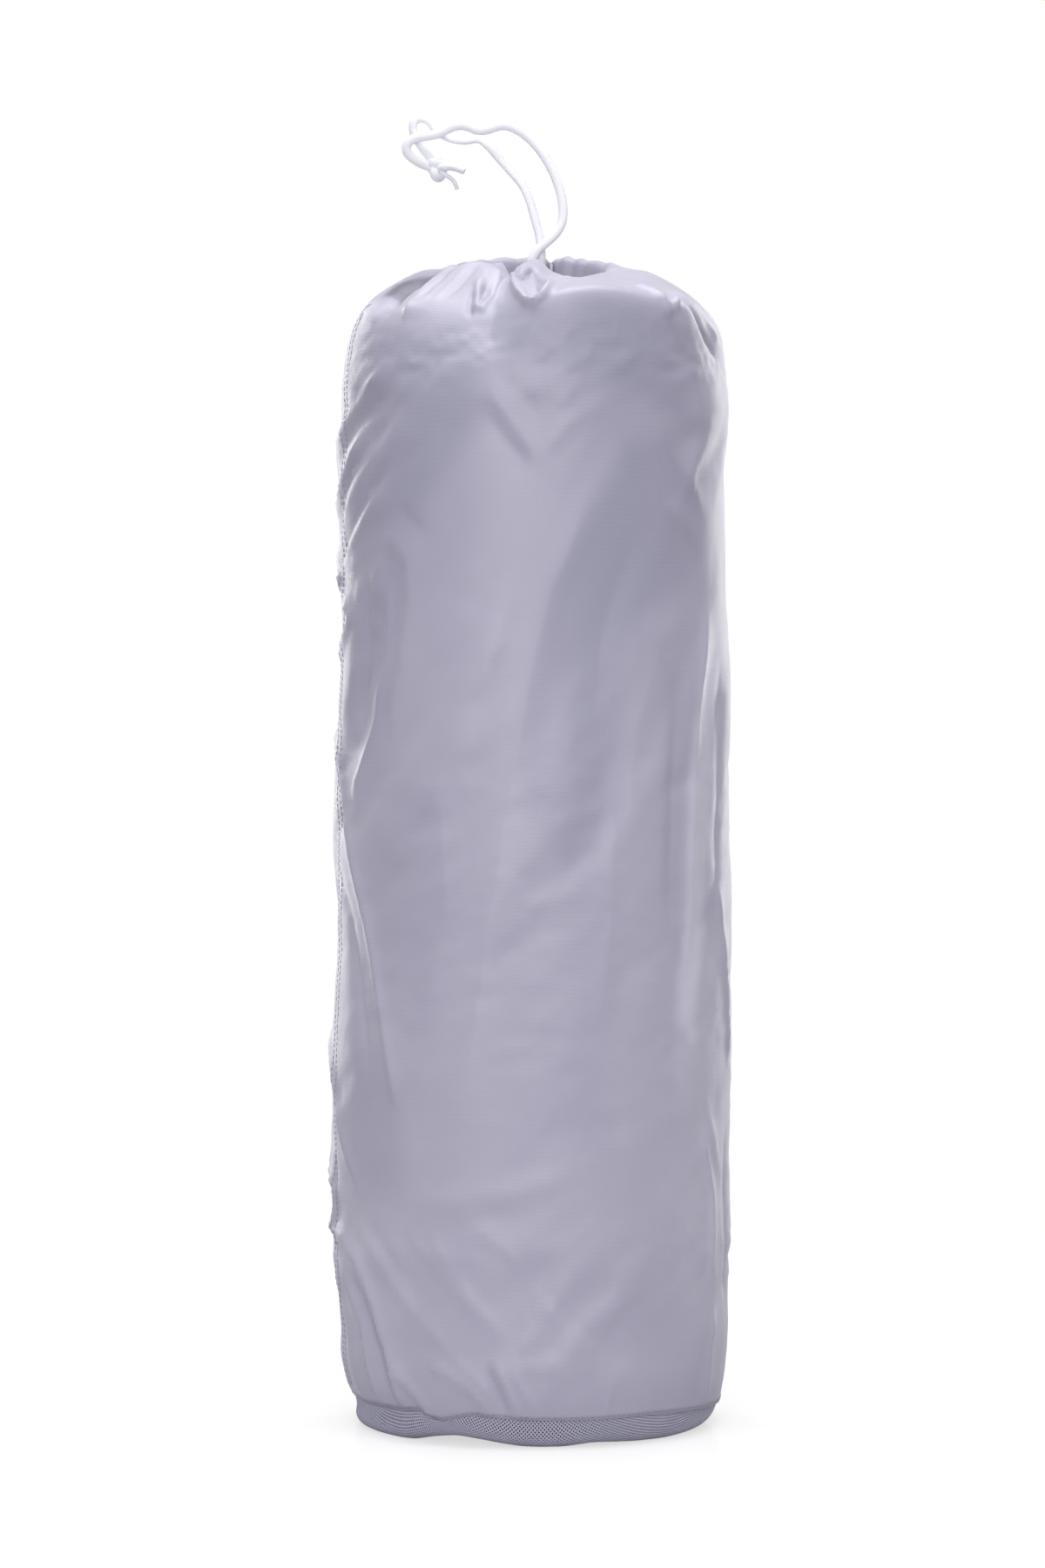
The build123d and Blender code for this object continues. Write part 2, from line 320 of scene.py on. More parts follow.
def captureValue(tree, geometry, label, value):
    # keeps a value on a curve's points, for the mesh that is made from it
    keep = addNode(tree, "GeometryNodeCaptureAttribute")
    keep.capture_items.new("FLOAT", label)
    feedSocket(tree, keep.inputs["Geometry"], geometry)
    feedSocket(tree, keep.inputs[label], value)
    return keep.outputs["Geometry"], keep.outputs[label]


def makeBraidTree():
    # a round braid along a curve: a tube whose skin stands up in crossing strands
    tree, given, result = newGeometryTree(
        "braidAlongCurve",
        [
            ("Radius", "NodeSocketFloat", 0.0021),
            ("Flatness", "NodeSocketFloat", 0.8),
            ("Braid Pitch", "NodeSocketFloat", 0.0062),
            ("Braid Depth", "NodeSocketFloat", 0.00014),
            ("Strands", "NodeSocketFloat", 8.0),
            ("Sides", "NodeSocketInt", 32),
            ("Step", "NodeSocketFloat", 0.0005),
            ("Material", "NodeSocketMaterial", None),
        ],
    )
    spacing = {"Curve": given["Geometry"], "Length": given["Step"]}
    even = addNode(tree, "GeometryNodeResampleCurve", spacing, mode="LENGTH")
    station = addNode(tree, "GeometryNodeSplineParameter").outputs["Length"]
    path, along = captureValue(tree, even.outputs["Curve"], "along", station)
    sizes = {"Resolution": given["Sides"], "Radius": given["Radius"]}
    ring = addNode(tree, "GeometryNodeCurvePrimitiveCircle", sizes, mode="RADIUS")
    turn = addNode(tree, "GeometryNodeSplineParameter").outputs["Factor"]
    section, around = captureValue(tree, ring.outputs["Curve"], "around", turn)
    squash = vectorOf(tree, 1.1, given["Flatness"], 1.0)
    flat = addNode(tree, "GeometryNodeTransform", {"Geometry": section, "Scale": squash})
    skin = {"Curve": path, "Profile Curve": flat.outputs["Geometry"], "Fill Caps": True}
    tube = addNode(tree, "GeometryNodeCurveToMesh", skin).outputs["Mesh"]
    turns = calculate(tree, "MULTIPLY", around, given["Strands"])
    travel = calculate(tree, "DIVIDE", along, given["Braid Pitch"])
    travel = calculate(tree, "MULTIPLY", travel, given["Strands"])
    crowns = []
    for direction in ("ADD", "SUBTRACT"):
        phase = calculate(tree, "MULTIPLY", calculate(tree, direction, turns, travel), math.pi)
        crowns.append(calculate(tree, "ABSOLUTE", calculate(tree, "COSINE", phase)))
    crown = calculate(tree, "SUBTRACT", calculate(tree, "MAXIMUM", *crowns), 0.8)
    rise = calculate(tree, "MULTIPLY", crown, given["Braid Depth"])
    outward = addNode(tree, "GeometryNodeInputNormal").outputs[0]
    lift = addNode(tree, "ShaderNodeVectorMath", {0: outward, "Scale": rise}, operation="SCALE").outputs[0]
    shift = addNode(tree, "GeometryNodeSetPosition", {"Geometry": tube, "Offset": lift})
    return finishTree(tree, shift.outputs["Geometry"], given, result)


braidTree = makeBraidTree()

drawcord = {
    "diameter": 4.2,
    "frontRadius": 2.15,
    "rearRadius": 2.0,
    "frontStrand": [
        (-3.2, -16.4, 556.0), (-3.3, -16.9, 567.5), (-3.2, -17.2, 579.0), (-2.4, -17.3, 590.0),
        (0.6, -17.2, 600.6), (6.6, -16.6, 605.8), (12.2, -15.6, 610.8), (15.4, -14.4, 617.4),
        (15.4, -13.2, 626.4), (13.2, -11.8, 636.0), (9.0, -10.6, 646.0), (3.2, -9.4, 655.2),
        (-5.0, -8.2, 663.6), (-14.6, -7.0, 668.2), (-22.8, -6.2, 665.4), (-28.4, -5.8, 664.6),
        (-34.6, -5.4, 667.8), (-41.2, -5.0, 667.4), (-47.2, -4.7, 663.8), (-53.4, -4.3, 662.4),
        (-60.4, -4.0, 661.8), (-65.2, -3.6, 658.8), (-65.4, -3.1, 653.8), (-60.6, -2.4, 650.0),
        (-55.4, -1.8, 647.4), (-50.6, -1.4, 646.4),
    ],
    "rearStrand": [
        (3.4, -12.0, 556.0), (3.5, -12.3, 567.5), (3.6, -12.4, 579.0), (4.2, -12.2, 590.5),
        (4.4, -11.6, 601.0), (3.4, -10.6, 610.2), (0.8, -9.2, 619.6), (-1.6, -7.6, 628.6),
        (-5.0, -5.6, 636.6), (-10.8, -3.4, 643.6), (-17.2, -1.4, 650.8), (-22.8, 0.2, 657.8),
        (-28.0, 1.2, 662.2), (-34.4, 1.8, 660.6), (-41.0, 2.1, 661.4), (-46.8, 2.2, 663.6),
        (-50.8, 2.2, 666.8), (-53.4, 2.0, 671.0), (-58.0, 1.8, 672.9), (-62.2, 1.6, 670.4),
        (-62.0, 1.4, 664.6), (-58.2, 1.0, 658.4), (-54.6, 0.6, 653.4), (-50.8, 0.2, 649.0),
    ],
    "ringLevel": 575.1,
    "ringRadius": 29.4,
    "endRadii": (19.7, 15.3),  # where the ring's front and rear ends meet the free strands
    "bendRadius": 25.0,
    "ringGap": 14,  # degrees between each end's bend and the full ring
    "ringFrom": -10.7,  # where the front strand's buttonhole lies
    "ringTo": 15.3,
    "frontLength": 0.202,  # metres
    "rearLength": 0.1795,
}


def smoothCurve(name, points):
    data = bpy.data.curves.new(name, "CURVE")
    data.dimensions = "3D"
    data.resolution_u = 12
    spline = data.splines.new("NURBS")
    spline.points.add(len(points) - 1)
    for point, (x, y, z) in zip(spline.points, points):
        point.co = (x * mm, y * mm, z * mm, 1)
    spline.order_u = 3
    spline.use_endpoint_u = True
    return linkObject(name, data)


def pointsAlong(curve):
    # the curve's own smooth line, read from its spline
    graph = bpy.context.evaluated_depsgraph_get()
    line = bpy.data.meshes.new_from_object(curve.evaluated_get(graph))
    points = [tuple(v.co) for v in line.vertices]
    bpy.data.meshes.remove(line)
    return points


def braidedCord(name, points, radius, flatness=0.8):
    curve = smoothCurve(name, points)
    line = pointsAlong(curve)
    sizes = {"Radius": radius * mm, "Flatness": flatness}
    return useTree(curve, braidTree, name, Material=cordMaterial, **sizes), line


frontCord, frontLine = braidedCord("cordFront", drawcord["frontStrand"], drawcord["frontRadius"])
rearCord, rearLine = braidedCord("cordRear", drawcord["rearStrand"], drawcord["rearRadius"])


def onRing(radius, azimuth, height):
    angle = math.radians(azimuth)
    return (radius * math.sin(angle), -radius * math.cos(angle), height)


def ringPoints(cord):
    start, stop = cord["ringFrom"], cord["ringTo"] - 360
    level, radius, bend = cord["ringLevel"], cord["ringRadius"], cord["bendRadius"]
    frontEnd, rearEnd = cord["endRadii"]
    inner = [onRing(frontEnd, start, level), onRing(bend, start - 1, level)]
    outer = [onRing(bend, stop + 1, level), onRing(rearEnd, stop, level)]
    gap, steps = cord["ringGap"], 22
    arc = [
        onRing(radius * 1.008, start - gap + (stop + gap - start + gap) * (i + 0.5) / steps, level)
        for i in range(steps)
    ]
    return inner + arc + outer


channelCord = braidedCord("cordInChannel", ringPoints(drawcord), drawcord["diameter"] / 2)[0]

# the two ends tied together in one overhand knot, and their cut tails
knot = {
    "centre": (-49.0, -1.2, 646.0),
    "size": 1.5,
    "depth": 1.8,
    "radius": 2.4,
    "phase": 0.4,
    "flatness": 0.95,
    "upperTail": [
        (-50.0, -1.6, 646.4), (-46.2, -3.0, 646.6), (-42.4, -3.5, 646.6), (-38.8, -3.9, 645.8),
        (-35.4, -4.2, 644.2),
    ],
    "upperRadius": 2.2,
    "lowerTail": [
        (-49.6, -1.0, 645.6), (-46.4, -1.2, 643.6), (-43.2, -0.6, 641.8), (-40.4, 0.2, 639.6),
        (-39.0, 0.6, 635.6),
    ],
    "lowerRadius": 1.35,
}


def knotPoints(shape):
    cx, cy, cz = shape["centre"]
    points, steps = [], 18
    for i in range(steps + 1):
        t = shape["phase"] + 2 * math.pi * i / steps * 0.97  # not quite a full round
        x = shape["size"] * (math.sin(t) + 2 * math.sin(2 * t))
        z = shape["size"] * (math.cos(t) - 2 * math.cos(2 * t))
        y = -shape["depth"] * math.sin(3 * t)
        points.append((cx + x, cy + y, cz + z))
    return points


knotBody = braidedCord("endKnot", knotPoints(knot), knot["radius"], knot["flatness"])[0]
tailUpper = braidedCord("knotTailUpper", knot["upperTail"], knot["upperRadius"])[0]
tailLower = braidedCord("knotTailLower", knot["lowerTail"], knot["lowerRadius"])[0]
print("stage: drawcord made")


# Outline of the cloth from the base seam up the wall, over the crest, down
# the throat and back up behind it as the hem: (radius, height) each.
nylonOutline = [
    (95.5, 13.0), (96.4, 17.5), (98.4, 26.0), (100.1, 40.0), (100.6, 60.0), (100.5, 100.0), (100.5, 160.0),
    (100.5, 230.0), (100.5, 300.0), (100.5, 370.0), (100.5, 430.0), (100.5, 480.0), (100.2, 515.0),
    (99.2, 535.0), (97.6, 550.0), (95.0, 561.5), (90.5, 570.5), (84.0, 577.6), (75.0, 584.0), (65.0, 589.5),
    (55.0, 594.0), (47.0, 598.0), (41.5, 600.8), (38.6, 598.6), (37.4, 593.5), (35.0, 588.4), (31.0, 585.6),
    (27.6, 582.6), (26.3, 577.5), (26.1, 571.0), (26.8, 566.4), (29.6, 565.4), (32.4, 567.4), (33.0, 572.0),
    (32.9, 577.5), (32.2, 581.4), (30.4, 583.0),
]
nylonCut = {
    "columns": 336,
    "frontShare": 0.42,  # how much closer the columns stand in front
    "rowGap": 3.4,  # on the wall
    "crownRowGap": 1.4,
    "thickness": 1.3,
    "seamAzimuth": -77.0,
    "pleats": 17,
    "seed": 5,
    "wallRadius": 100.5,
    "domeRadius": 62.0,
    "girth": 0.631,  # metres
    "crownRun": 560,  # how far up the cloth the wall turns into the crown
    "crestLevel": 600.0,  # the outline's own crest and base seam
    "seamLevel": 13.0,
    "hemPlace": (26.6, 580.6),  # where the channel is stitched shut
    "throatShade": 1.15,
    # noise on the wall: cells round the bag, height of a cell, slant, seed, and for swells the depth
    "swells": [(7, 120.0, 0.004, 11, 0.9), (16, 60.0, 0.012, 12, 0.45)],
    "puckers": (64, 30.0, 0.0, 21),
    "puckerDepth": 0.5,
}


def splinePoint(points, position):
    # quadratic B-spline through the corners' rounds, ends included
    last = len(points) - 2
    index = min(int(position), last - 1)
    t = position - index
    a, b, c = points[index], points[index + 1], points[index + 2]
    start = a if index == 0 else (a + b) / 2
    end = c if index == last - 1 else (b + c) / 2
    return (1 - t) ** 2 * start + 2 * t * (1 - t) * b + t * t * end


def smoothStep(value, low, high):
    share = np.clip((value - low) / (high - low), 0.0, 1.0)
    return share * share * (3 - 2 * share)


# How far the cloth leans out of the round shape, left and right, by height
outlineLeft = [
    (13, -3.3), (18, -1.2), (31, -0.4), (50, 0.6), (68, 1.7), (85, 2.9), (103, 1.2), (120, 2.4), (140, 2.8),
    (193, 2.0), (247, -0.8), (301, 1.2), (324, 0.4), (355, -0.3), (410, -0.6), (445, 0.2), (463, 1.0),
    (481, 0.8), (499, 0.0), (517, -2.6), (535, -1.0), (545, -0.8), (560, 0.0), (610, 0.0),
]
outlineRight = [
    (13, 1.1), (31, 0.6), (50, 1.9), (68, 1.2), (85, 0.6), (140, -0.6), (193, 0.2), (247, 0.6), (301, 0.2),
    (355, 0.7), (410, 1.0), (463, 0.0), (499, -0.8), (535, -0.4), (545, 0.4), (560, 1.5), (580, 0.5),
    (610, 0.0),
]

# Height of the crest, pull of the shoulder towards the axis, its drop, and the
# height of the base seam, each by azimuth
crestHeights = [
    (-180, 605.6), (-150, 604.2), (-130, 601.6), (-110, 598.6), (-100, 597.0), (-90, 596.0), (-75, 594.6),
    (-60, 593.4), (-48, 592.4), (-30, 592.6), (-22, 593.0), (-18.5, 588.0), (-15, 583.5), (-11.5, 587.5),
    (-8, 592.0), (-2, 594.0), (4, 593.8), (8, 591.4), (12, 588.5), (24, 585.8), (30, 584.2), (37, 586.0),
    (45, 587.6), (64, 590.4), (78, 594.4), (92, 596.4), (110, 599.0), (130, 601.8), (150, 604.2),
]
shoulderPull = [
    (-180, 2.0), (-160, -1.0), (-135, 4.0), (-110, 0.5), (-90, 0.0), (-70, 1.0), (-55, 2.0), (-45, 3.0),
    (-30, 6.0), (-15, 8.5), (-8, 4.5), (0, 0.0), (50, 0.0), (60, 1.0), (70, 3.0), (80, 1.5), (95, 0.0),
    (120, 3.0), (145, -1.0),
]
shoulderDrop = [
    (-180, 0.0), (-135, 3.0), (-90, 0.0), (-60, 1.0), (-45, 3.0), (-25, 6.0), (-12, 6.5), (-2, 1.0),
    (8, 0.0), (45, 0.0), (62, 0.0), (90, 0.0), (130, 2.0),
]
seamHeights = [
    (-180, 13.5), (-140, 13.0), (-120, 14.0), (-95, 13.6), (-78, 15.0), (-58, 15.0), (-44, 15.6),
    (-37, 16.2), (-32, 13.6), (-29, 12.2), (-25, 13.8), (-19, 16.2), (-12.6, 15.4), (0, 14.2), (18, 13.9),
    (37, 14.3), (65, 12.6), (85, 11.8), (120, 13.0), (150, 14.2),
]


# In front on the right the top is flat and breaks sharply into the wall.
flatTop = [
    (100.2, 515.0), (100.5, 532.0), (100.3, 548.0), (99.9, 560.0), (99.3, 567.4), (96.6, 571.6),
    (90.0, 573.9), (78.0, 577.0), (65.0, 580.2), (55.0, 582.6), (47.0, 584.6), (41.5, 586.0),
]
flatRise = [
    (-180, 0.0), (-10, 0.0), (0, -2.0), (8, 1.0), (17, 4.0), (25, 3.2), (32, 1.8), (48, -1.8), (60, -1.0),
    (75, 0.0),
]
flatShares = [(-180, 0.0), (-7, 0.0), (1, 0.35), (9, 1.0), (50, 1.0), (58, 0.45), (68, 0.0)]


def byAzimuth(table, azimuth, soften):
    # values of a table at each azimuth, joined round the bag and rounded a little
    places = np.array([row[0] for row in table], float)
    values = np.array([row[1] for row in table], float)
    around = np.arange(-180, 180, 0.5)
    level = np.interp(around, places, values, period=360)
    reach = int(soften * 4)
    weights = np.exp(-0.5 * (np.arange(-reach, reach + 1) / (soften * 2)) ** 2)
    weights /= weights.sum()
    padded = np.concatenate([level[-reach:], level, level[:reach]])
    return np.interp(azimuth, around, np.convolve(padded, weights, "valid"), period=360)


def crease(rise, left, right, fade, *path, tint=0.0, crisp=1.3):
    # how far it stands out, its half widths, the fade at its ends, and its way over the cloth; its tint
    # paints shade along it where above 0 and a highlight where below 0
    shape = {"rise": rise, "left": left, "right": right, "fade": fade}
    return {**shape, "path": path, "tint": tint, "crisp": crisp}


# Folds of the wall, their paths in (azimuth, height)
wallFolds = [
    crease(1.8, 20, 9, 70, (27.8, 499), (13.5, 456), (4.5, 422), (-1.5, 380), (-6, 330), (-13, 250),
        (-21, 160)),
    crease(-1.92, 12, 16, 60, (34, 470), (20, 400), (16, 320)),
    crease(1.16, 2.4, 4.1, 10, (43.7, 496), (50, 483), (61, 466)),
    crease(1.01, 2.4, 4.1, 10, (40, 468), (47.5, 461), (56, 451)),
    crease(1.32, 7, 12, 30, (50, 428), (40, 400), (31.5, 357), (27, 300)),
    crease(-1.74, 4.8, 4.92, 40, (46, 385), (44, 335), (41, 250)),
    crease(1.89, 4, 5.74, 40, (62, 430), (59, 402), (53, 330), (47, 220)),
    crease(-1.45, 4.8, 4.92, 40, (72, 400), (66, 300), (63, 240)),
    crease(0.87, 7.2, 7.38, 30, (24, 330), (22, 258), (18, 200)),
    crease(-1.16, 4, 4.92, 12, (-11.6, 533), (-6.6, 524), (3.4, 509)),
    crease(1.3, 3.2, 6.56, 14, (-15, 526), (-8, 511), (2.5, 486)),
    crease(-1.74, 4, 3.28, 14, (-14, 512), (-8.5, 499), (0.9, 480)),
    crease(-1.3, 4, 3.28, 10, (-43.4, 469), (-36.7, 458), (-30.5, 450)),
    crease(1.45, 3.2, 7.38, 14, (-52, 452), (-45, 449), (-39, 441), (-38.5, 420), (-41, 387), (-46, 350)),
    crease(-2.61, 7.2, 7.38, 22, (-56, 440), (-57, 400), (-62, 350)),
    crease(1.89, 3.2, 3.28, 14, (-45.8, 431), (-47.8, 387), (-52, 360), (-59, 335), (-66, 322)),
    crease(2.32, 2.72, 3.69, 10, (-62, 505), (-66, 498), (-73, 488), (-90, 466)),
    crease(-1.59, 3.2, 3.28, 16, (-44, 512), (-58, 500), (-73, 478), (-88, 450)),
    crease(1.3, 3.2, 3.28, 14, (-46, 500), (-60, 484), (-77, 462)),
    crease(-1.45, 3.2, 3.28, 16, (-44, 490), (-60, 468), (-84, 436)),
    crease(1.45, 3.2, 3.28, 14, (-48, 478), (-62, 456), (-88, 425)),
    crease(1.59, 3.2, 4.1, 12, (-50, 538), (-62, 524), (-90, 500)),
    crease(-1.3, 3.2, 3.28, 12, (-48, 524), (-64, 512), (-85, 492)),
    crease(2.46, 2.8, 4.1, 10, (-90, 452), (-79, 429), (-67, 413), (-74, 402), (-86, 392)),
    crease(1.74, 3.2, 4.1, 12, (-90, 360), (-76, 336), (-71, 322)),
    crease(2.46, 2.56, 4.1, 14, (-74, 330), (-70, 315), (-62, 285), (-55, 258), (-47, 212), (-41, 166)),
    crease(-1.59, 4.8, 4.1, 22, (-80, 290), (-66, 262), (-58, 225), (-52, 180)),
    crease(0.72, 5.6, 5.74, 20, (-40, 330), (-28, 327), (-25, 269), (-32, 212), (-45, 215)),
    crease(2.32, 2.88, 4.1, 14, (-90, 206), (-76, 170), (-66, 142), (-57, 121)),
    crease(-1.74, 4, 4.1, 16, (-90, 165), (-78, 140), (-74, 112)),
    crease(2.17, 2.72, 3.61, 9, (-92, 136), (-77, 121), (-78, 110), (-86, 96)),
    crease(3.62, 2.72, 5.33, 8, (-84, 103), (-76, 100), (-68.6, 97), (-59, 87), (-52, 66), (-47, 45),
        (-44.3, 28.6), (-42, 14)),
    crease(-2.03, 3.2, 2.79, 12, (-66, 84), (-56, 62), (-50, 42), (-47, 20)),
    crease(2.75, 2.24, 3.61, 5, (-45, 36), (-41, 30), (-36.6, 21), (-31, 13)),
    crease(2.32, 2.56, 3.61, 9, (-72, 84), (-68.6, 76), (-59, 54), (-53.3, 14)),
    crease(1.3, 3.2, 3.61, 9, (-80, 80), (-70, 50), (-64, 14)),
    crease(1.3, 3.2, 4.1, 16, (-62.5, 111), (-52, 94), (-37.6, 68), (-29.3, 56), (-22.5, 42)),
    crease(-1.01, 3.2, 3.28, 14, (-55, 112), (-44, 92), (-33, 72)),
    crease(1.16, 3.2, 4.1, 16, (-40, 110), (-33, 98), (-21, 75), (-12, 58)),
    crease(1.01, 3.2, 4.1, 18, (-32, 112), (-27.6, 98), (-17.7, 73), (-6, 50)),
    crease(1.16, 4, 4.92, 18, (-22, 118), (-7.7, 97), (8, 63), (14, 48)),
    crease(-1.01, 4, 4.1, 18, (-14, 104), (2, 78), (20, 52), (30, 40)),
    crease(1.16, 7.2, 7.38, 30, (-44, 121), (-20, 122), (5, 132), (30, 150)),
    crease(1.01, 6.4, 7.38, 36, (-42, 125), (-25, 160), (-12, 220)),
    crease(2.17, 2.08, 2.95, 6, (-32, 42), (-25, 35), (-19.3, 28), (-11.5, 13)),
    crease(1.16, 2.08, 2.46, 6, (-24, 44), (-17, 33), (-11.5, 22)),
    crease(-1.89, 1.92, 2.3, 6, (-13.8, 42), (-11.5, 31), (-7.5, 14)),
    crease(1.74, 1.92, 2.79, 6, (-11, 40), (-8.5, 31), (-4, 13)),
    crease(1.16, 2.08, 2.46, 6, (-7, 39), (-3, 28), (1.5, 13)),
    crease(1.01, 1.92, 2.46, 5, (2, 30), (5, 22), (7, 13)),
    crease(0.87, 2.08, 2.46, 5, (24, 32), (22, 22), (22, 13)),
    crease(1.3, 3.2, 4.92, 14, (37, 135), (41, 121), (54, 92), (60, 80)),
    crease(2.03, 3.2, 4.92, 14, (56, 156), (62.8, 123), (62, 86), (66, 70)),
    crease(1.74, 2.88, 4.1, 8, (66, 64), (62, 43), (62, 14)),
    crease(-1.45, 4, 4.1, 20, (78, 160), (74, 110), (78, 60)),
    crease(1.89, 3.2, 4.92, 16, (64, 284), (70, 250), (76, 207), (80, 180)),
    crease(1.3, 2.88, 4.1, 12, (60, 170), (66, 140), (71, 128)),
    crease(1.6, 5, 8, 24, (110, 520), (122, 470), (128, 400)),
    crease(-1.4, 5, 6, 24, (96, 480), (104, 430), (106, 360)),
    crease(1.8, 6, 9, 34, (150, 505), (140, 440), (138, 350), (144, 280)),
    crease(-1.6, 6, 6, 26, (176, 515), (166, 450), (163, 380)),
    crease(1.7, 5, 8, 30, (-160, 520), (-168, 450), (-170, 370), (-164, 290)),
    crease(-1.6, 5, 6, 24, (-136, 500), (-144, 420), (-142, 350)),
    crease(1.5, 5, 7, 24, (-116, 520), (-122, 460), (-118, 400)),
    crease(1.4, 5, 7, 24, (112, 260), (122, 200), (118, 130)),
    crease(1.5, 6, 8, 26, (168, 240), (158, 170), (162, 110)),
    crease(1.6, 5, 8, 24, (-150, 230), (-142, 160), (-148, 90)),
    crease(-1.4, 5, 6, 24, (-118, 250), (-108, 180), (-112, 110)),
    crease(1.6, 3, 4.6, 8, (104, 66), (108, 40), (106, 14)),
    crease(1.9, 3, 4.6, 9, (134, 70), (130, 42), (133, 14)),
    crease(1.5, 3, 4.4, 8, (160, 58), (163, 36), (160, 14)),
    crease(1.9, 3, 5, 9, (-172, 74), (-168, 44), (-171, 14)),
    crease(1.6, 3, 4.4, 8, (-140, 60), (-143, 38), (-140, 14)),
    crease(1.8, 3, 4.6, 9, (-112, 72), (-108, 42), (-111, 14)),
]

# Folds of the crown, their paths in (azimuth, run along the cloth from the base seam); their tints paint
# shade into hollows, valleys and the throat's rear wall, and highlights onto rims and ridges
crownFolds = [
    # the tongue of cloth in the middle: its rim, its hollow, its upper edge
    crease(4.4, 1.9, 1.9, 5, (-8, 590), (-6.5, 576), (-4.4, 565), (-1.9, 557), (0.8, 555.5), (3, 558),
        (4.8, 566), (6, 580), tint=-0.3, crisp=1.8),
    crease(-4.0, 2.2, 2.0, 6, (-4.6, 577), (-2.6, 592), (0.5, 596), (2.8, 588), (3.2, 570), (2.2, 560),
        tint=1.0, crisp=1.8),
    crease(1.0, 2.4, 4.0, 8, (5, 566), (8, 580), (13, 596), (22, 606), tint=-0.15),
    crease(-1.2, 1.6, 1.6, 3, (-10, 601), (-6.5, 585), (-6, 578), tint=0.5),
    # the front left edge rolls over and a valley lies behind it
    crease(3.0, 2.4, 8, 10, (-45, 550), (-47, 566), (-50, 580), (-50, 591), (-44, 599), (-34, 604),
        (-22, 608), tint=-0.3, crisp=1.5),
    crease(-3.6, 12, 14, 12, (-50, 558), (-54, 574), (-57, 590), (-50, 602), crisp=2.0),
    crease(-3.4, 6, 3.6, 9, (-56, 558), (-61, 572), (-63, 584), (-58, 596), (-47, 604), (-34, 609),
        tint=0.8, crisp=1.7),
    crease(0.3, 7, 6, 9, (-66, 568), (-70, 580), (-70, 590), (-62, 600), (-50, 607), tint=0.9, crisp=2.0),
    crease(-1.3, 1.8, 1.8, 8, (-45, 562), (-44.5, 578), (-43, 594), (-38, 604), tint=0.3, crisp=1.6),
    crease(0.9, 2, 4, 8, (-41.5, 560), (-41, 578), (-39, 594), tint=-0.15),
    crease(1.2, 3, 3, 8, (-80, 553), (-74, 560), (-66, 556), (-58, 551), tint=-0.2),
    crease(1.0, 4, 4, 14, (-84, 556), (-78, 585), (-70, 612)),
    # pinches left of the tongue
    crease(1.9, 2.0, 2.4, 5, (-24.5, 588), (-22.5, 575), (-20.6, 563), (-18.4, 561), (-17, 575),
        (-17.5, 592), (-19, 606), tint=-0.25, crisp=1.7),
    crease(-1.9, 1.8, 1.6, 5, (-24, 575), (-23, 563), (-21, 554), tint=0.45, crisp=1.6),
    crease(-1.4, 1.6, 1.6, 4, (-20, 582), (-19.6, 570), tint=0.3),
    crease(-1.0, 3, 3, 8, (-29, 604), (-31, 586), (-34, 566), tint=0.15),
    crease(0.9, 3, 4, 10, (-34, 600), (-36, 580), (-38, 560), tint=-0.1),
    crease(1.0, 3, 3, 8, (-13, 596), (-13.5, 578), (-12, 560), tint=-0.15),
    crease(-1.2, 7, 5, 16, (-10, 590), (-13, 566), (-14, 545), (-10, 525)),
    # pinch and facet on the right shoulder
    crease(3.2, 3.0, 1.8, 4, (36, 574), (39, 566), (41, 557), (43, 549), tint=-0.3, crisp=1.6),
    crease(3.2, 1.8, 2.4, 5, (54, 578), (48, 564), (44.5, 553), tint=-0.3, crisp=1.6),
    crease(-4.4, 2.0, 2.0, 4, (47, 576), (44, 567), (42.8, 559), tint=1.1, crisp=1.7),
    crease(-2.6, 2.4, 3.2, 6, (50, 586), (52, 572), (54.5, 560), (60, 547), (67, 538), (73, 532), tint=0.4,
        crisp=1.5),
    crease(1.8, 4, 4, 8, (58, 576), (63, 562), (70, 550), (78, 540), tint=-0.3),
    crease(0.5, 5, 7, 10, (14, 596), (20, 580), (24, 566)),
    # the rear wall of the throat, seen through the gap on the right
    crease(-2.6, 1.8, 2.0, 6, (168, 608), (166, 622), (164, 650), tint=1.2, crisp=1.7),
    crease(0.9, 4, 5, 8, (154, 612), (152, 626), (150, 650), tint=-0.2),
]


def area(amount, soft, *outline):
    # a patch of the cloth: how dark it is, its soft edge, and its outline
    return {"amount": amount, "soft": soft, "outline": outline}


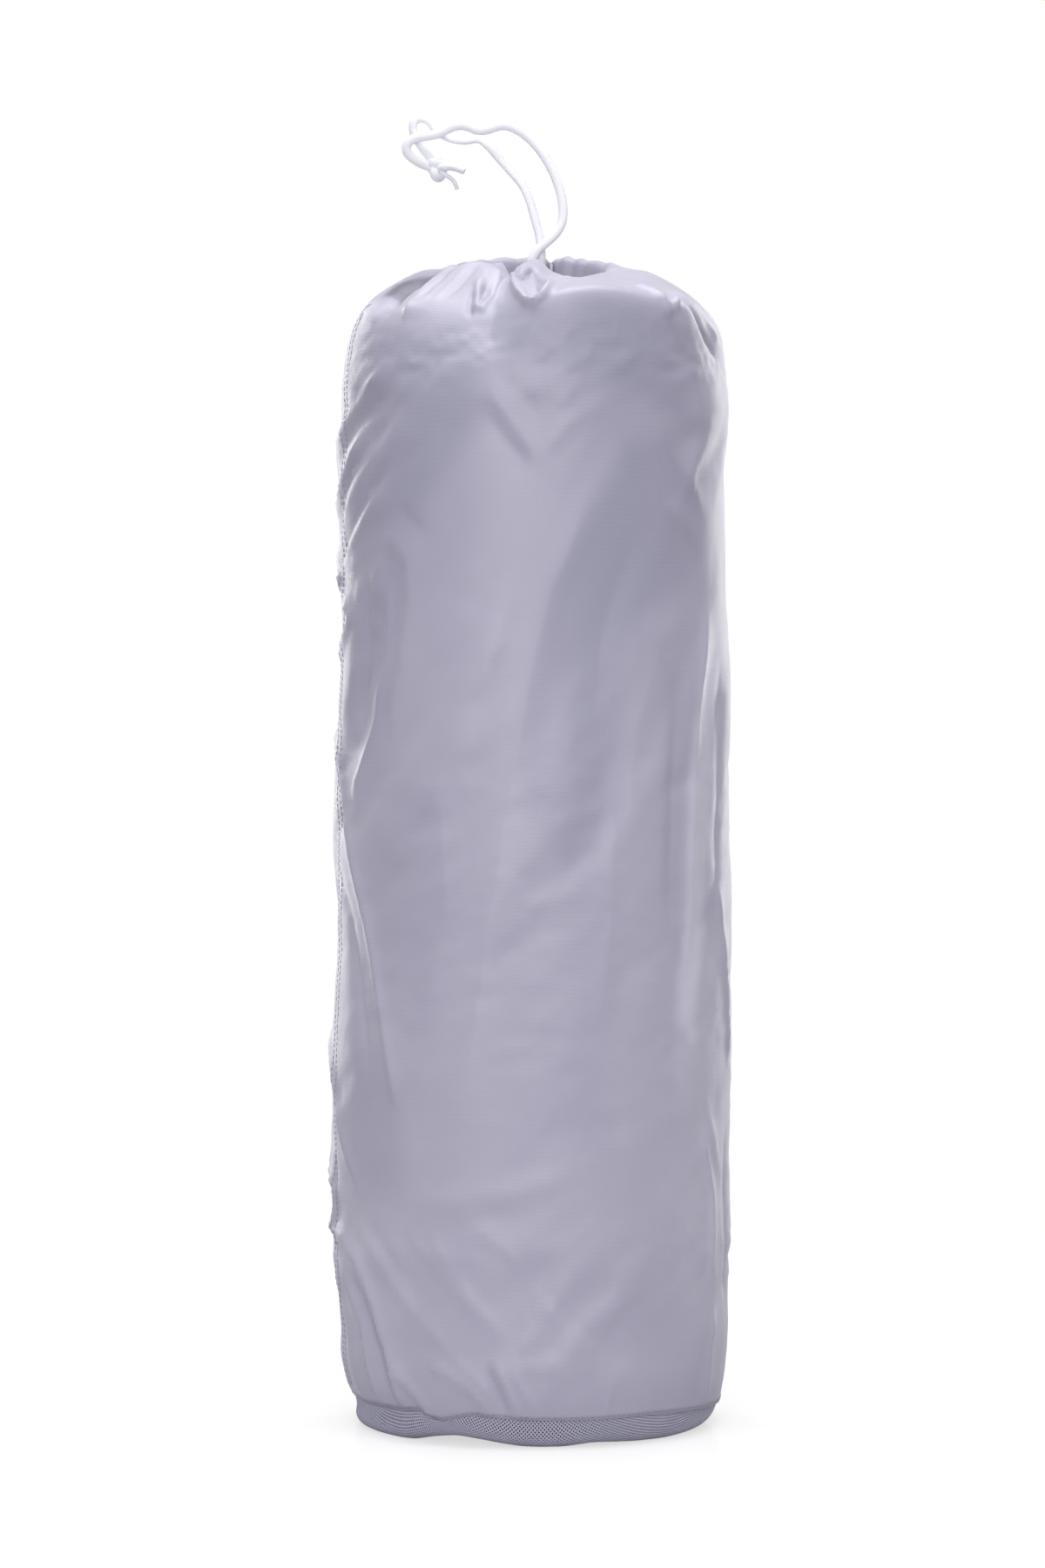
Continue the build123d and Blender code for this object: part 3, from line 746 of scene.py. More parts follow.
# Patches painted darker and bluer where the amount is above 0, lighter where below 0: partly the tone where
# the filled-out cloth lies tight on the load, partly painted shade where the wall turns away from the lamps
# and painted light where it turns towards them.
wallToneAndLightPatches = [
    area(-0.5, 6, (66, 450), (57, 400), (50, 330), (45, 210), (52, 200), (60, 300), (68, 400)),
    area(0.5, 9, (46, 505), (27, 497), (20.5, 474), (13, 453), (5, 430), (1.5, 404), (-2.5, 370), (-4, 330),
        (2, 300), (10, 290), (20, 322), (24, 360), (25, 390), (36, 414), (50, 430), (60, 446), (60, 470),
        (50, 486)),
    area(0.38, 9, (-62, 447), (-45, 447), (-39, 440), (-41, 387), (-47, 350), (-60, 335), (-76, 328),
        (-73, 388), (-65, 418)),
    area(0.26, 14, (-56, 350), (-40, 335), (-25, 327), (-24, 269), (-31, 212), (-46, 217), (-52, 260),
        (-54, 307)),
    area(0.45, 10, (-76, 552), (-52, 559), (-36, 554), (-17, 546), (-13, 512), (-26, 484), (-38, 450),
        (-70, 452)),
    area(0.3, 10, (-60, 200), (-45, 190), (-38, 150), (-40, 125), (-60, 125), (-68, 160)),
    area(0.32, 5, (49, 385), (42, 385), (39, 250), (46, 240)),
    area(0.5, 8, (-8, 548), (2, 560), (14, 566), (45, 563), (53, 552), (66, 534), (72, 515), (60, 500),
        (36, 520), (8, 532)),
    area(0.25, 14, (-5, 290), (8, 290), (20, 320), (22, 250), (18, 150), (-8, 140), (-14, 240)),
    area(0.2, 12, (20, 70), (45, 85), (52, 60), (40, 45), (22, 50)),
    area(-0.3, 8, (44, 540), (72, 540), (80, 470), (70, 430), (62, 440), (62, 480)),
    area(-0.25, 14, (42, 260), (72, 260), (72, 60), (42, 60)),
    area(-0.2, 12, (-70, 120), (-35, 120), (-35, 60), (-70, 60)),
    area(0.5, 18, (130, 480), (165, 500), (175, 380), (150, 250), (120, 320)),
    area(0.5, 18, (-160, 330), (-120, 360), (-110, 230), (-135, 150), (-165, 200)),
    area(0.35, 14, (100, 200), (130, 180), (125, 90), (95, 80)),
]
# Patches of the crown: painted shade in the recess behind the rolled left edge and left of the tongue, and
# painted light on the left shoulder below it.
domeLightAndShadePatches = [
    area(0.95, 2.5, (-74, 570), (-60, 571), (-57, 586), (-50, 596), (-38, 602), (-24, 605), (-24, 610),
        (-42, 609), (-58, 602), (-68, 592), (-76, 582)),
    area(0.4, 6, (-26, 574), (-8, 574), (-6, 550), (-28, 548)),
    area(-0.4, 5, (-78, 566), (-60, 566), (-60, 556), (-76, 556)),
]


def foldRelief(azimuth, along, radius, folds):
    # relief in millimetres and tint of all folds, at every point of the cloth; the tint is painted shade
    # above 0 and painted highlight below 0
    relief, tint = np.zeros_like(azimuth), np.zeros_like(azimuth)
    for fold in folds:
        path = np.array(fold["path"], float)
        best = np.full(azimuth.shape, 1e9)
        side, travel = np.zeros_like(azimuth), np.zeros_like(azimuth)
        travelled = 0.0
        for (a, s), (b, t) in zip(path, path[1:]):
            ax = np.radians(azimuth - a) * radius
            bx = math.radians(b - a) * radius
            ay, by = along - s, t - s
            length = np.hypot(bx, by)
            onto = np.clip((ax * bx + ay * by) / length, 0, length)
            ox, oy = ax - onto * bx / length, ay - onto * by / length
            distance = np.hypot(ox, oy)
            nearer = distance < best
            best = np.where(nearer, distance, best)
            side = np.where(nearer, ox, side)
            travel = np.where(nearer, travelled + onto, travel)
            travelled = travelled + length
        width = np.where(side < 0, fold["left"], fold["right"])
        across = np.exp(-((best / width) ** fold["crisp"]))
        ends = smoothStep(travel, 0, fold["fade"]) * smoothStep(travelled - travel, 0, fold["fade"])
        share = across * (0.1 + 0.9 * ends)
        relief += fold["rise"] * share
        tint += fold["tint"] * share
    return relief, tint


def patchTint(azimuth, height, patches, radius):
    # soft-edged areas, each inside its outline of (azimuth, height)
    tint = np.zeros_like(azimuth)
    x, y = np.radians(azimuth) * radius, height
    for patch in patches:
        corners = [(math.radians(a) * radius, z) for a, z in patch["outline"]]
        inside = np.zeros(azimuth.shape, bool)
        nearest = np.full(azimuth.shape, 1e9)
        for (ax, ay), (bx, by) in zip(corners, corners[1:] + corners[:1]):
            crosses = (ay > y) != (by > y)
            with np.errstate(divide="ignore", invalid="ignore"):
                at = ax + (y - ay) * (bx - ax) / (by - ay if by != ay else 1e-9)
            inside ^= crosses & (x < at)
            dx, dy = bx - ax, by - ay
            onto = np.clip(((x - ax) * dx + (y - ay) * dy) / (dx * dx + dy * dy), 0, 1)
            nearest = np.minimum(nearest, np.hypot(x - ax - onto * dx, y - ay - onto * dy))
        signed = np.where(inside, nearest, -nearest)
        tint += patch["amount"] * smoothStep(signed, -patch["soft"], patch["soft"])
    return tint


def latticeNoise(x, y, seed):
    # smooth value noise on a wrapped lattice, x in turns of 360 cells at most
    generator = np.random.default_rng(seed)
    table = generator.random((64, 64)) * 2 - 1
    xi, yi = np.floor(x).astype(int), np.floor(y).astype(int)
    fx, fy = x - xi, y - yi
    fx, fy = fx * fx * (3 - 2 * fx), fy * fy * (3 - 2 * fy)

    def at(i, j):
        return table[i % 64, j % 64]

    low = at(xi, yi) * (1 - fx) + at(xi + 1, yi) * fx
    high = at(xi, yi + 1) * (1 - fx) + at(xi + 1, yi + 1) * fx
    return low * (1 - fy) + high * fy


def roundNoise(azimuth, height, cells, tall, slant, seed):
    # noise that closes round the bag: `cells` cells in a turn, each `tall` high
    turn = (azimuth % 360) / 360
    share = smoothStep(turn, 0.94, 1.0)  # blended over the rear, where the turn closes
    first = latticeNoise(turn * cells + slant * height, height / tall, seed)
    second = latticeNoise((turn - 1) * cells + slant * height, height / tall, seed)
    return first * (1 - share) + second * share


def nylonRows(cut):
    # spline positions of the rows, nearly even along the outline
    points = [np.array(p, float) for p in nylonOutline]
    dense = [(q / 40, splinePoint(points, q / 40)) for q in range((len(points) - 2) * 40 + 1)]
    rows, left = [0.0], 0.0
    for (_, before), (position, here) in zip(dense, dense[1:]):
        left += float(np.hypot(*(here - before)))
        gap = cut["rowGap"] if here[1] < 530 and here[0] > 60 else cut["crownRowGap"]
        if left >= gap:
            rows.append(position)
            left = 0.0
    if rows[-1] < dense[-1][0]:
        rows.append(dense[-1][0])
    return rows


def pleatPattern(azimuth, cut):
    # uneven gathers round the mouth, -1 to 1, with their own widths
    generator = np.random.default_rng(cut["seed"])
    edges = np.cumsum(0.6 + generator.random(cut["pleats"]) * 0.9)
    edges = np.concatenate([[0.0], edges]) / edges[-1] * 360
    heights = 0.6 + generator.random(cut["pleats"]) * 0.6
    angle = (azimuth + 7.0) % 360
    which = np.clip(np.searchsorted(edges, angle, side="right") - 1, 0, cut["pleats"] - 1)
    within = (angle - edges[which]) / (edges[which + 1] - edges[which])
    return heights[which] * np.cos(within * 2 * math.pi) * -1


clothSettle = {
    "frames": 14,
    "columns": 132,
    "rows": 126,
    "slack": 0.016,  # how much wider the cloth was cut than what it holds
    "twist": 8.0,  # degrees that the mouth is turned against the base
    "fill": 4.0,  # pressure of the load
    "inward": 1.6,  # past this depth the load stops a dent
    "outward": 3.2,
    "top": 566.0,
    "uneven": 0.25,
    "seed": 1,
    "stuff": {
        "quality": 5,
        "mass": 0.3,
        "tension_stiffness": 15,
        "compression_stiffness": 15,
        "shear_stiffness": 15,
        "bending_stiffness": 0.5,
    },
}


def cubicWeights(places, count, wraps):
    # Catmull-Rom weights that carry `count` even samples to other places
    weights = np.zeros((len(places), count))
    for row, place in enumerate(places):
        i = int(min(max(math.floor(place), 0), count - 1 if wraps else count - 2))
        t = place - i
        for offset, share in (
            (-1, -0.5 * t + t * t - 0.5 * t ** 3),
            (0, 1 - 2.5 * t * t + 1.5 * t ** 3),
            (1, 0.5 * t + 2 * t * t - 1.5 * t ** 3),
            (2, -0.5 * t * t + 0.5 * t ** 3),
        ):
            j = (i + offset) % count if wraps else min(max(i + offset, 0), count - 1)
            weights[row, j] += share
    return weights


def tubeFaces(rows, columns):
    faces = []
    for i in range(rows - 1):
        low, high = i * columns, (i + 1) * columns
        for j in range(columns):
            k = (j + 1) % columns
            faces.append((low + j, low + k, high + k, high + j))
    return faces


def settleWall(settle, azimuth, height):
    # A coarse copy of the wall, cut a little wide, is twisted at its mouth and
    # settles into drape folds. Gives how far each place of the cloth moves out.
    columns, rows = settle["columns"], settle["rows"]
    outline = [np.array(p, float) for p in nylonOutline]
    places = [splinePoint(outline, q) for q in np.linspace(0, 16, 400)]
    heights = np.linspace(nylonOutline[0][1], settle["top"], rows)
    radii = np.interp(heights, [p[1] for p in places], [p[0] for p in places])
    angles = np.radians(np.arange(columns) / columns * 360 - 180)
    generator = np.random.default_rng(settle["seed"])
    start = radii[:, None] + settle["uneven"] * generator.standard_normal((rows, columns))
    turned = angles[None, :] + np.radians(settle["twist"]) * np.linspace(0, 1, rows)[:, None]

    def onTube(turn):
        tall = heights[:, None] + 0 * start
        return np.stack([start * np.sin(turn), -start * np.cos(turn), tall], axis=2) * mm

    upright = onTube(angles[None, :] + 0 * start).reshape(-1, 3)
    skin = meshObject("settlingCloth", upright, tubeFaces(rows, columns))
    skin.shape_key_add(name="Basis")
    key = skin.shape_key_add(name="turned")
    key.data.foreach_set("co", onTube(turned).astype(np.float32).ravel())
    for frameNumber, value in ((1, 0.0), (6, 1.0)):
        key.value = value
        key.keyframe_insert("value", frame=frameNumber)
    held = skin.vertex_groups.new(name="held")
    hold = np.maximum(1 - smoothStep(heights, 14, 34), smoothStep(heights, 532, 560))
    for i, weight in enumerate(hold):
        if weight > 0:
            held.add(list(range(i * columns, (i + 1) * columns)), float(weight), "REPLACE")
    modifier = skin.modifiers.new("cloth", "CLOTH")
    cloth = modifier.settings
    for setting, value in settle["stuff"].items():
        setattr(cloth, setting, value)
    cloth.vertex_group_mass = "held"
    cloth.shrink_min = -settle["slack"]
    cloth.use_pressure = True
    cloth.uniform_pressure_force = settle["fill"]
    cloth.effector_weights.gravity = 0
    modifier.collision_settings.use_collision = False
    modifier.point_cache.frame_start = 1
    modifier.point_cache.frame_end = settle["frames"]
    scene = bpy.context.scene
    for step in range(1, settle["frames"] + 1):
        scene.frame_set(step)
    graph = bpy.context.evaluated_depsgraph_get()
    settled = skin.evaluated_get(graph).to_mesh()
    points = np.zeros(len(settled.vertices) * 3, dtype=np.float32)
    settled.vertices.foreach_get("co", points)
    points = points.reshape(rows, columns, 3) / mm
    moved = np.hypot(points[..., 0], points[..., 1]) - radii[:, None]
    scene.frame_set(1)
    action = skin.data.shape_keys.animation_data.action
    bpy.data.objects.remove(skin)
    bpy.data.actions.remove(action)
    moved = (moved + np.roll(moved, 1, axis=1) + np.roll(moved, -1, axis=1)) / 3
    moved -= np.median(moved)
    outward, inward = settle["outward"], settle["inward"]
    moved = np.where(moved > 0, outward * np.tanh(moved / outward), inward * np.tanh(moved / inward))
    print("stage: wall settled, folds of %.1f to %.1f mm" % (moved.min(), moved.max()))
    upRows = np.clip((height[:, 0] - heights[0]) / (heights[1] - heights[0]), 0, rows - 1)
    sideways = (azimuth[0] + 180) / 360 * columns
    return cubicWeights(upRows, rows, False) @ moved @ cubicWeights(sideways, columns, True).T


def overFlatTop(azimuth, radius, height, nominal, run):
    # swaps in the flat outline where the top is flat
    crestRow = int(np.argmax(nominal[:, 1]))
    crestRun = run[crestRow]
    corners = [np.array(p) for p in flatTop]
    flat = np.array([splinePoint(corners, q) for q in np.linspace(0, len(flatTop) - 2, 240)])
    along = np.concatenate([[0.0], np.cumsum(np.hypot(*np.diff(flat, axis=0).T))])
    startRun = np.interp(flatTop[0][1], nominal[:crestRow, 1], run[:crestRow])
    share = np.clip((run - startRun) / (crestRun - startRun), 0, 1)
    reach = smoothStep(share, 0.8, 1.0)
    flatRadius = np.interp(share * along[-1], along, flat[:, 0])
    flatRadius = flatRadius + (nominal[crestRow, 0] - flat[-1, 0]) * reach
    flatHeight = np.interp(share * along[-1], along, flat[:, 1])[:, None]
    flatHeight = flatHeight + (byAzimuth(crestHeights, azimuth, 1.2) - flat[-1, 1]) * reach[:, None]
    middle = smoothStep(share, 0.3, 0.52) * (1 - smoothStep(share, 0.6, 1.0))
    flatHeight += byAzimuth(flatRise, azimuth, 4.0) * middle[:, None]
    begun = smoothStep(share, 0.0, 0.2) * (run <= crestRun)
    weight = byAzimuth(flatShares, azimuth, 1.5) * begun[:, None]
    return radius * (1 - weight) + flatRadius[:, None] * weight, height * (1 - weight) + flatHeight * weight


def makeNylonCloth(cut):
    columns, crownRun = cut["columns"], cut["crownRun"]
    rows = nylonRows(cut)
    points = list(np.array(nylonOutline, float))
    evenly = (np.arange(columns) / columns * 360) - 180
    azimuths = evenly - math.degrees(cut["frontShare"]) * np.sin(np.radians(evenly))
    azimuth = np.repeat(azimuths[None, :], len(rows), axis=0)
    nominal = np.array([splinePoint(points, q) for q in rows])
    tangent = np.gradient(nominal, axis=0)
    tangent /= np.linalg.norm(tangent, axis=1)[:, None]
    normal = np.stack([tangent[:, 1], -tangent[:, 0]], axis=1)
    radius = np.repeat(nominal[:, :1], columns, axis=1)
    height = np.repeat(nominal[:, 1:], columns, axis=1)
    nr = np.repeat(normal[:, :1], columns, axis=1)
    nz = np.repeat(normal[:, 1:], columns, axis=1)
    run = np.concatenate([[0.0], np.cumsum(np.hypot(*np.diff(nominal, axis=0).T))])
    runs = np.repeat(run[:, None], columns, axis=1)
    crestRun = run[np.argmax(nominal[:, 1])]
    sine, cosine = np.sin(np.radians(azimuth)), np.cos(np.radians(azimuth))
    onWall = (runs < crownRun).astype(float)

    # silhouette
    left = np.interp(height, *zip(*outlineLeft)) * onWall
    right = np.interp(height, *zip(*outlineRight)) * onWall
    lean = left * np.clip(-sine, 0, 1) ** 2 + right * np.clip(sine, 0, 1) ** 2

    # soft swells of the wall, and gathers of the crown, kept low in front
    soft = sum(roundNoise(azimuth, height, *swell) * depth for *swell, depth in cut["swells"])
    soft = soft * smoothStep(runs, 0, 30) * (1 - smoothStep(runs, crownRun, 640))
    pleat = pleatPattern(azimuth, cut)
    gather = smoothStep(runs, crownRun, crestRun)
    calm = 1 - 0.75 * np.clip(cosine, 0, 1) ** 0.7
    beyond = smoothStep(runs, crestRun + 16, crestRun + 42)
    behind = smoothStep(-cosine, 0.05, 0.55) * smoothStep(runs, 552, 585)
    behind = behind * (1 - smoothStep(runs, 598, crestRun - 3))
    soft += pleat * (0.45 * gather * calm * (1 - beyond) + 1.5 * behind)
    soft += (0.6 + 0.5 * pleat) * 2.4 * beyond  # the gathers of the throat stay clear of the cord

    # crest, shoulder and base seam follow their own heights
    level = height.copy()
    crestDrop = byAzimuth(crestHeights, azimuth, 1.2) - cut["crestLevel"]
    wide = np.where(runs < crestRun, smoothStep(level, 566, 599), smoothStep(level, 583, 599))
    near = np.where(runs < crestRun, smoothStep(level, 591, 600), smoothStep(level, 583, 599))
    height = height + np.minimum(crestDrop + 5, 0) * wide + np.maximum(crestDrop, -5) * near
    shoulder = smoothStep(runs, 505, 562) * (1 - smoothStep(runs, 566, crestRun - 6))
    radius = radius - byAzimuth(shoulderPull, azimuth, 3.0) * shoulder
    height = height - byAzimuth(shoulderDrop, azimuth, 3.0) * shoulder
    seamRise = byAzimuth(seamHeights, azimuth, 1.2) - cut["seamLevel"]
    height = height + seamRise * (1 - smoothStep(runs, 0, 45))
    radius, height = overFlatTop(azimuth, radius, height, nominal, run)
    radius = radius + lean + soft * nr
    height = height + soft * nz
    base = np.stack([radius * sine, -radius * cosine, height], axis=2) * mm
    drape = settleWall(clothSettle, azimuth, level)
    drape = drape * smoothStep(runs, 4, 40) * (1 - smoothStep(runs, 535, 570))

    # creases of the wall and the crown, and puckers where the nylon meets the mesh
    relief, tint = foldRelief(azimuth, level, radius, wallFolds)
    wallEnd = onWall * (1 - smoothStep(runs, 545, 575))
    relief, tint = relief * wallEnd, tint * wallEnd
    raised, shade = foldRelief(azimuth, runs, radius, crownFolds)
    onCrown = smoothStep(runs, 520, 545) * (1 - smoothStep(runs, crestRun + 24, crestRun + 40))
    relief, tint = relief + raised * onCrown, tint + shade * onCrown
    pucker = roundNoise(azimuth, height * 0, *cut["puckers"])
    relief += pucker * cut["puckerDepth"] * (1 - smoothStep(runs, 4, 26)) * smoothStep(runs, -4, 6)
    outward = np.cross(np.roll(base, -1, axis=1) - np.roll(base, 1, axis=1), np.gradient(base, axis=0))
    outward /= np.linalg.norm(outward, axis=2)[..., None]
    outer = base + outward * ((relief + drape) * mm)[..., None]

    # painted shade down the throat, along the folds and in patches, painted light in a few patches, and
    # partly the darker tone where the cloth lies tight on the load
    tint += cut["throatShade"] * smoothStep(runs, crestRun - 2, crestRun + 9)
    patchedToneAndLight = patchTint(azimuth, level, wallToneAndLightPatches, cut["wallRadius"]) * (1 - smoothStep(runs, 552, 568))
    belowCrown = 1 - smoothStep(runs, 548, 566)
    # painted shade darkens the wall towards its top; the wall below the crown is also a little darker all
    # over
    patchedToneAndLight += 0.3 * smoothStep(level, 330, 470) * belowCrown + 0.12 * belowCrown
    patchedToneAndLight += patchTint(azimuth, runs, domeLightAndShadePatches, cut["domeRadius"]) * onCrown
    loadToneAndPaintedLight = np.clip(tint + patchedToneAndLight, -1.0, 2.0)
    hemRadius, hemHeight = cut["hemPlace"]
    hemRow = np.argmin(np.hypot(nominal[:, 0] - hemRadius, nominal[:, 1] - hemHeight))
    return {"outer": outer, "azimuth": azimuth, "runs": runs, "loadToneAndPaintedLight": loadToneAndPaintedLight, "hemRun": runs[hemRow, 0]}


def clothShell(name, grid, runs, azimuth, thickness, material):
    # closed cloth: the outer grid, a plainer grid inside it, and both rims
    rows, columns, _ = grid.shape
    across = np.roll(grid, -1, axis=1) - np.roll(grid, 1, axis=1)
    along = np.gradient(grid, axis=0)
    normal = np.cross(across, along)
    normal /= np.linalg.norm(normal, axis=2)[:, :, None]
    # the inner side needs fewer points: every fourth column, every third row
    innerRows = sorted({*range(0, rows, 3), rows - 1})
    # the lower edge is cut thin, so that it lies close over the net
    depth = thickness * (0.45 + 0.55 * smoothStep(runs[innerRows][:, ::4], 0, 14))[..., None]
    inner = grid[innerRows][:, ::4] - normal[innerRows][:, ::4] * depth
    half = columns // 4
    vertices = np.concatenate([grid.reshape(-1, 3), inner.reshape(-1, 3)])
    first = rows * columns
    faces = tubeFaces(rows, columns)
    for i in range(len(innerRows) - 1):
        for j in range(half):
            k = (j + 1) % half
            a, b = first + i * half, first + (i + 1) * half
            faces.append((a + k, a + j, b + j, b + k))
    lastInner = first + (len(innerRows) - 1) * half
    top = (rows - 1) * columns
    for j in range(half):
        rim = [(4 * j + i) % columns for i in range(5)]
        k = (j + 1) % half
        faces.append((first + j, first + k, *reversed(rim)))
        faces.append((*(top + i for i in rim), lastInner + k, lastInner + j))
    piece = meshObject(name, vertices, faces, material)
    mesh = piece.data
    uv = mesh.uv_layers.new(name="clothRun")
    loops = np.zeros(len(mesh.loops), dtype=np.int64)
    mesh.loops.foreach_get("vertex_index", loops)
    turn = (azimuth + 180) / 360 * nylonCut["girth"]
    us = np.concatenate([turn.ravel(), turn[innerRows][:, ::4].ravel()])
    vs = np.concatenate([runs.ravel(), runs[innerRows][:, ::4].ravel()]) * mm
    values = np.stack([us[loops], vs[loops]], axis=1)
    starts = np.zeros(len(mesh.polygons), dtype=np.int64)
    totals = np.zeros(len(mesh.polygons), dtype=np.int64)
    mesh.polygons.foreach_get("loop_start", starts)
    mesh.polygons.foreach_get("loop_total", totals)
    owner = np.repeat(np.arange(len(starts)), totals)
    highest = np.maximum.reduceat(values[:, 0], starts)
    wraps = (highest[owner] - values[:, 0]) > 0.3
    values[wraps, 0] += nylonCut["girth"]
    uv.data.foreach_set("uv", values.astype(np.float32).ravel())
    return piece


cloth = makeNylonCloth(nylonCut)
nylonBody = clothShell(
    "nylonBody", cloth["outer"], cloth["runs"], cloth["azimuth"], nylonCut["thickness"] * mm, nylonMaterial
)
# each point's share of painted highlight, painted shade and tight-cloth tone, read by the nylon's colour; the
# inner side gets a middle value
loadToneAndPaintedLightLayer = nylonBody.data.attributes.new("loadToneAndPaintedLight", "FLOAT", "POINT")
loadToneAndPaintedLight = cloth["loadToneAndPaintedLight"].ravel()
lining = np.full(len(nylonBody.data.vertices) - loadToneAndPaintedLight.size, 0.5)
loadToneAndPaintedLightLayer.data.foreach_set("value", np.concatenate([loadToneAndPaintedLight, lining]).astype(np.float32))
print("stage: nylon made,", len(nylonBody.data.polygons), "faces")


# The net lies flat and turns up inside the nylon's lower edge.
meshCut = {
    "pitch": 1.4,
    "yarn": 0.62,
    "thick": 0.3,
    "flatRadius": 84.6,
    "bend": 9.0,
    "slope": 76.0,
    "reach": 104.6,
    "turn": 45.0,  # degrees between the yarns and the bag's front
    "lift": 0.2,
}

# How far the turned-up edge of the base stands off the floor, by azimuth
baseLifts = [
    (-180, 0.0), (-160, 1.5), (-140, 0.5), (-120, 2.5), (-100, 0.5), (-62, 0.0), (-45, 0.0), (-35, 3.0),
    (-26, 4.6), (-17, 3.0), (-6, 0.6), (0, 0.0), (10, 0.0), (20, 1.6), (35, 0.5), (50, 0.0), (72, 0.6),
    (90, 1.6), (110, 0.5), (135, 2.8), (155, 0.0),
]


def makeNetTree():
    # two sets of parallel yarns, one across the other, of a net that lies flat and turns up at its edge
    tree, given, result = newGeometryTree(
        "netYarns",
        [
            ("Pitch", "NodeSocketFloat", 0.0014),
            ("Yarn Width", "NodeSocketFloat", 0.0006),
            ("Yarn Thickness", "NodeSocketFloat", 0.0003),
            ("Flat Radius", "NodeSocketFloat", 0.087),
            ("Bend Radius", "NodeSocketFloat", 0.006),
            ("Bend Degrees", "NodeSocketFloat", 72.9),
            ("Reach", "NodeSocketFloat", 0.1039),
            ("Points", "NodeSocketInt", 56),
            ("Turn", "NodeSocketFloat", 0.0),
            ("Lift", "NodeSocketFloat", 0.0),
            ("Crossing Lift", "NodeSocketFloat", 0.00025),
            ("Material", "NodeSocketMaterial", None),
        ],
    )
    pitch, reach, bend = given["Pitch"], given["Reach"], given["Bend Radius"]
    count = calculate(tree, "DIVIDE", calculate(tree, "MULTIPLY", reach, 2.0), pitch)
    count = calculate(tree, "FLOOR", count)
    first = calculate(tree, "MULTIPLY", calculate(tree, "SUBTRACT", count, 1.0), -0.5)
    first = calculate(tree, "MULTIPLY", first, pitch)
    places = {
        "Count": count,
        "Start Location": vectorOf(tree, 0.0, first, 0.0),
        "Offset": vectorOf(tree, 0.0, pitch, 0.0),
    }
    stations = addNode(tree, "GeometryNodeMeshLine", places)
    yarn = addNode(tree, "GeometryNodeCurvePrimitiveLine", {"Start": (-1, 0, 0), "End": (1, 0, 0)})
    spacing = {"Curve": yarn.outputs[0], "Count": given["Points"]}
    steps = addNode(tree, "GeometryNodeResampleCurve", spacing, mode="COUNT")
    laid = {"Points": stations.outputs[0], "Instance": steps.outputs[0]}
    copies = addNode(tree, "GeometryNodeInstanceOnPoints", laid)
    real = addNode(tree, "GeometryNodeRealizeInstances", {0: copies.outputs[0]})
    # the flat place of each point, its yarn cut to the disc
    here = addNode(tree, "GeometryNodeInputPosition").outputs[0]
    parts = addNode(tree, "ShaderNodeSeparateXYZ", {0: here}).outputs
    square = calculate(tree, "MULTIPLY", parts[1], parts[1])
    half = calculate(tree, "SUBTRACT", calculate(tree, "MULTIPLY", reach, reach), square)
    half = calculate(tree, "SQRT", calculate(tree, "MAXIMUM", half, 1e-8))
    # points crowd towards the ends, where the net bends
    eased = calculate(tree, "SINE", calculate(tree, "MULTIPLY", parts[0], math.pi / 2))
    flatX = calculate(tree, "MULTIPLY", eased, half)
    flatR = calculate(tree, "ADD", calculate(tree, "MULTIPLY", flatX, flatX), square)
    flatR = calculate(tree, "SQRT", calculate(tree, "MAXIMUM", flatR, 1e-10))
    # what lies past the flat goes round the bend and then straight on
    over = calculate(tree, "MAXIMUM", calculate(tree, "SUBTRACT", flatR, given["Flat Radius"]), 0.0)
    full = calculate(tree, "RADIANS", given["Bend Degrees"])
    angle = calculate(tree, "MINIMUM", calculate(tree, "DIVIDE", over, bend), full)
    past = calculate(tree, "SUBTRACT", over, calculate(tree, "MULTIPLY", full, bend))
    past = calculate(tree, "MAXIMUM", past, 0.0)
    sine = calculate(tree, "SINE", angle)
    cosine = calculate(tree, "COSINE", angle)
    near = calculate(tree, "MINIMUM", flatR, given["Flat Radius"])
    bentR = calculate(tree, "MULTIPLY_ADD", sine, bend, near)
    bentR = calculate(tree, "MULTIPLY_ADD", past, cosine, bentR)
    rise = calculate(tree, "MULTIPLY", calculate(tree, "SUBTRACT", 1.0, cosine), bend)
    rise = calculate(tree, "MULTIPLY_ADD", past, sine, rise)
    scale = calculate(tree, "DIVIDE", bentR, flatR)
    place = vectorOf(
        tree,
        calculate(tree, "MULTIPLY", flatX, scale),
        calculate(tree, "MULTIPLY", parts[1], scale),
        calculate(tree, "ADD", rise, given["Lift"]),
    )
    bent = addNode(tree, "GeometryNodeSetPosition", {"Geometry": real.outputs[0], "Position": place})
    section = {"Height": given["Yarn Width"], "Width": given["Yarn Thickness"]}
    profile = addNode(tree, "GeometryNodeCurvePrimitiveQuadrilateral", section)
    upright = addNode(tree, "GeometryNodeSetCurveNormal", {"Curve": bent.outputs[0]}, mode="Z_UP")
    skin = {"Curve": upright.outputs[0], "Profile Curve": profile.outputs[0], "Fill Caps": True}
    tube = addNode(tree, "GeometryNodeCurveToMesh", skin).outputs[0]
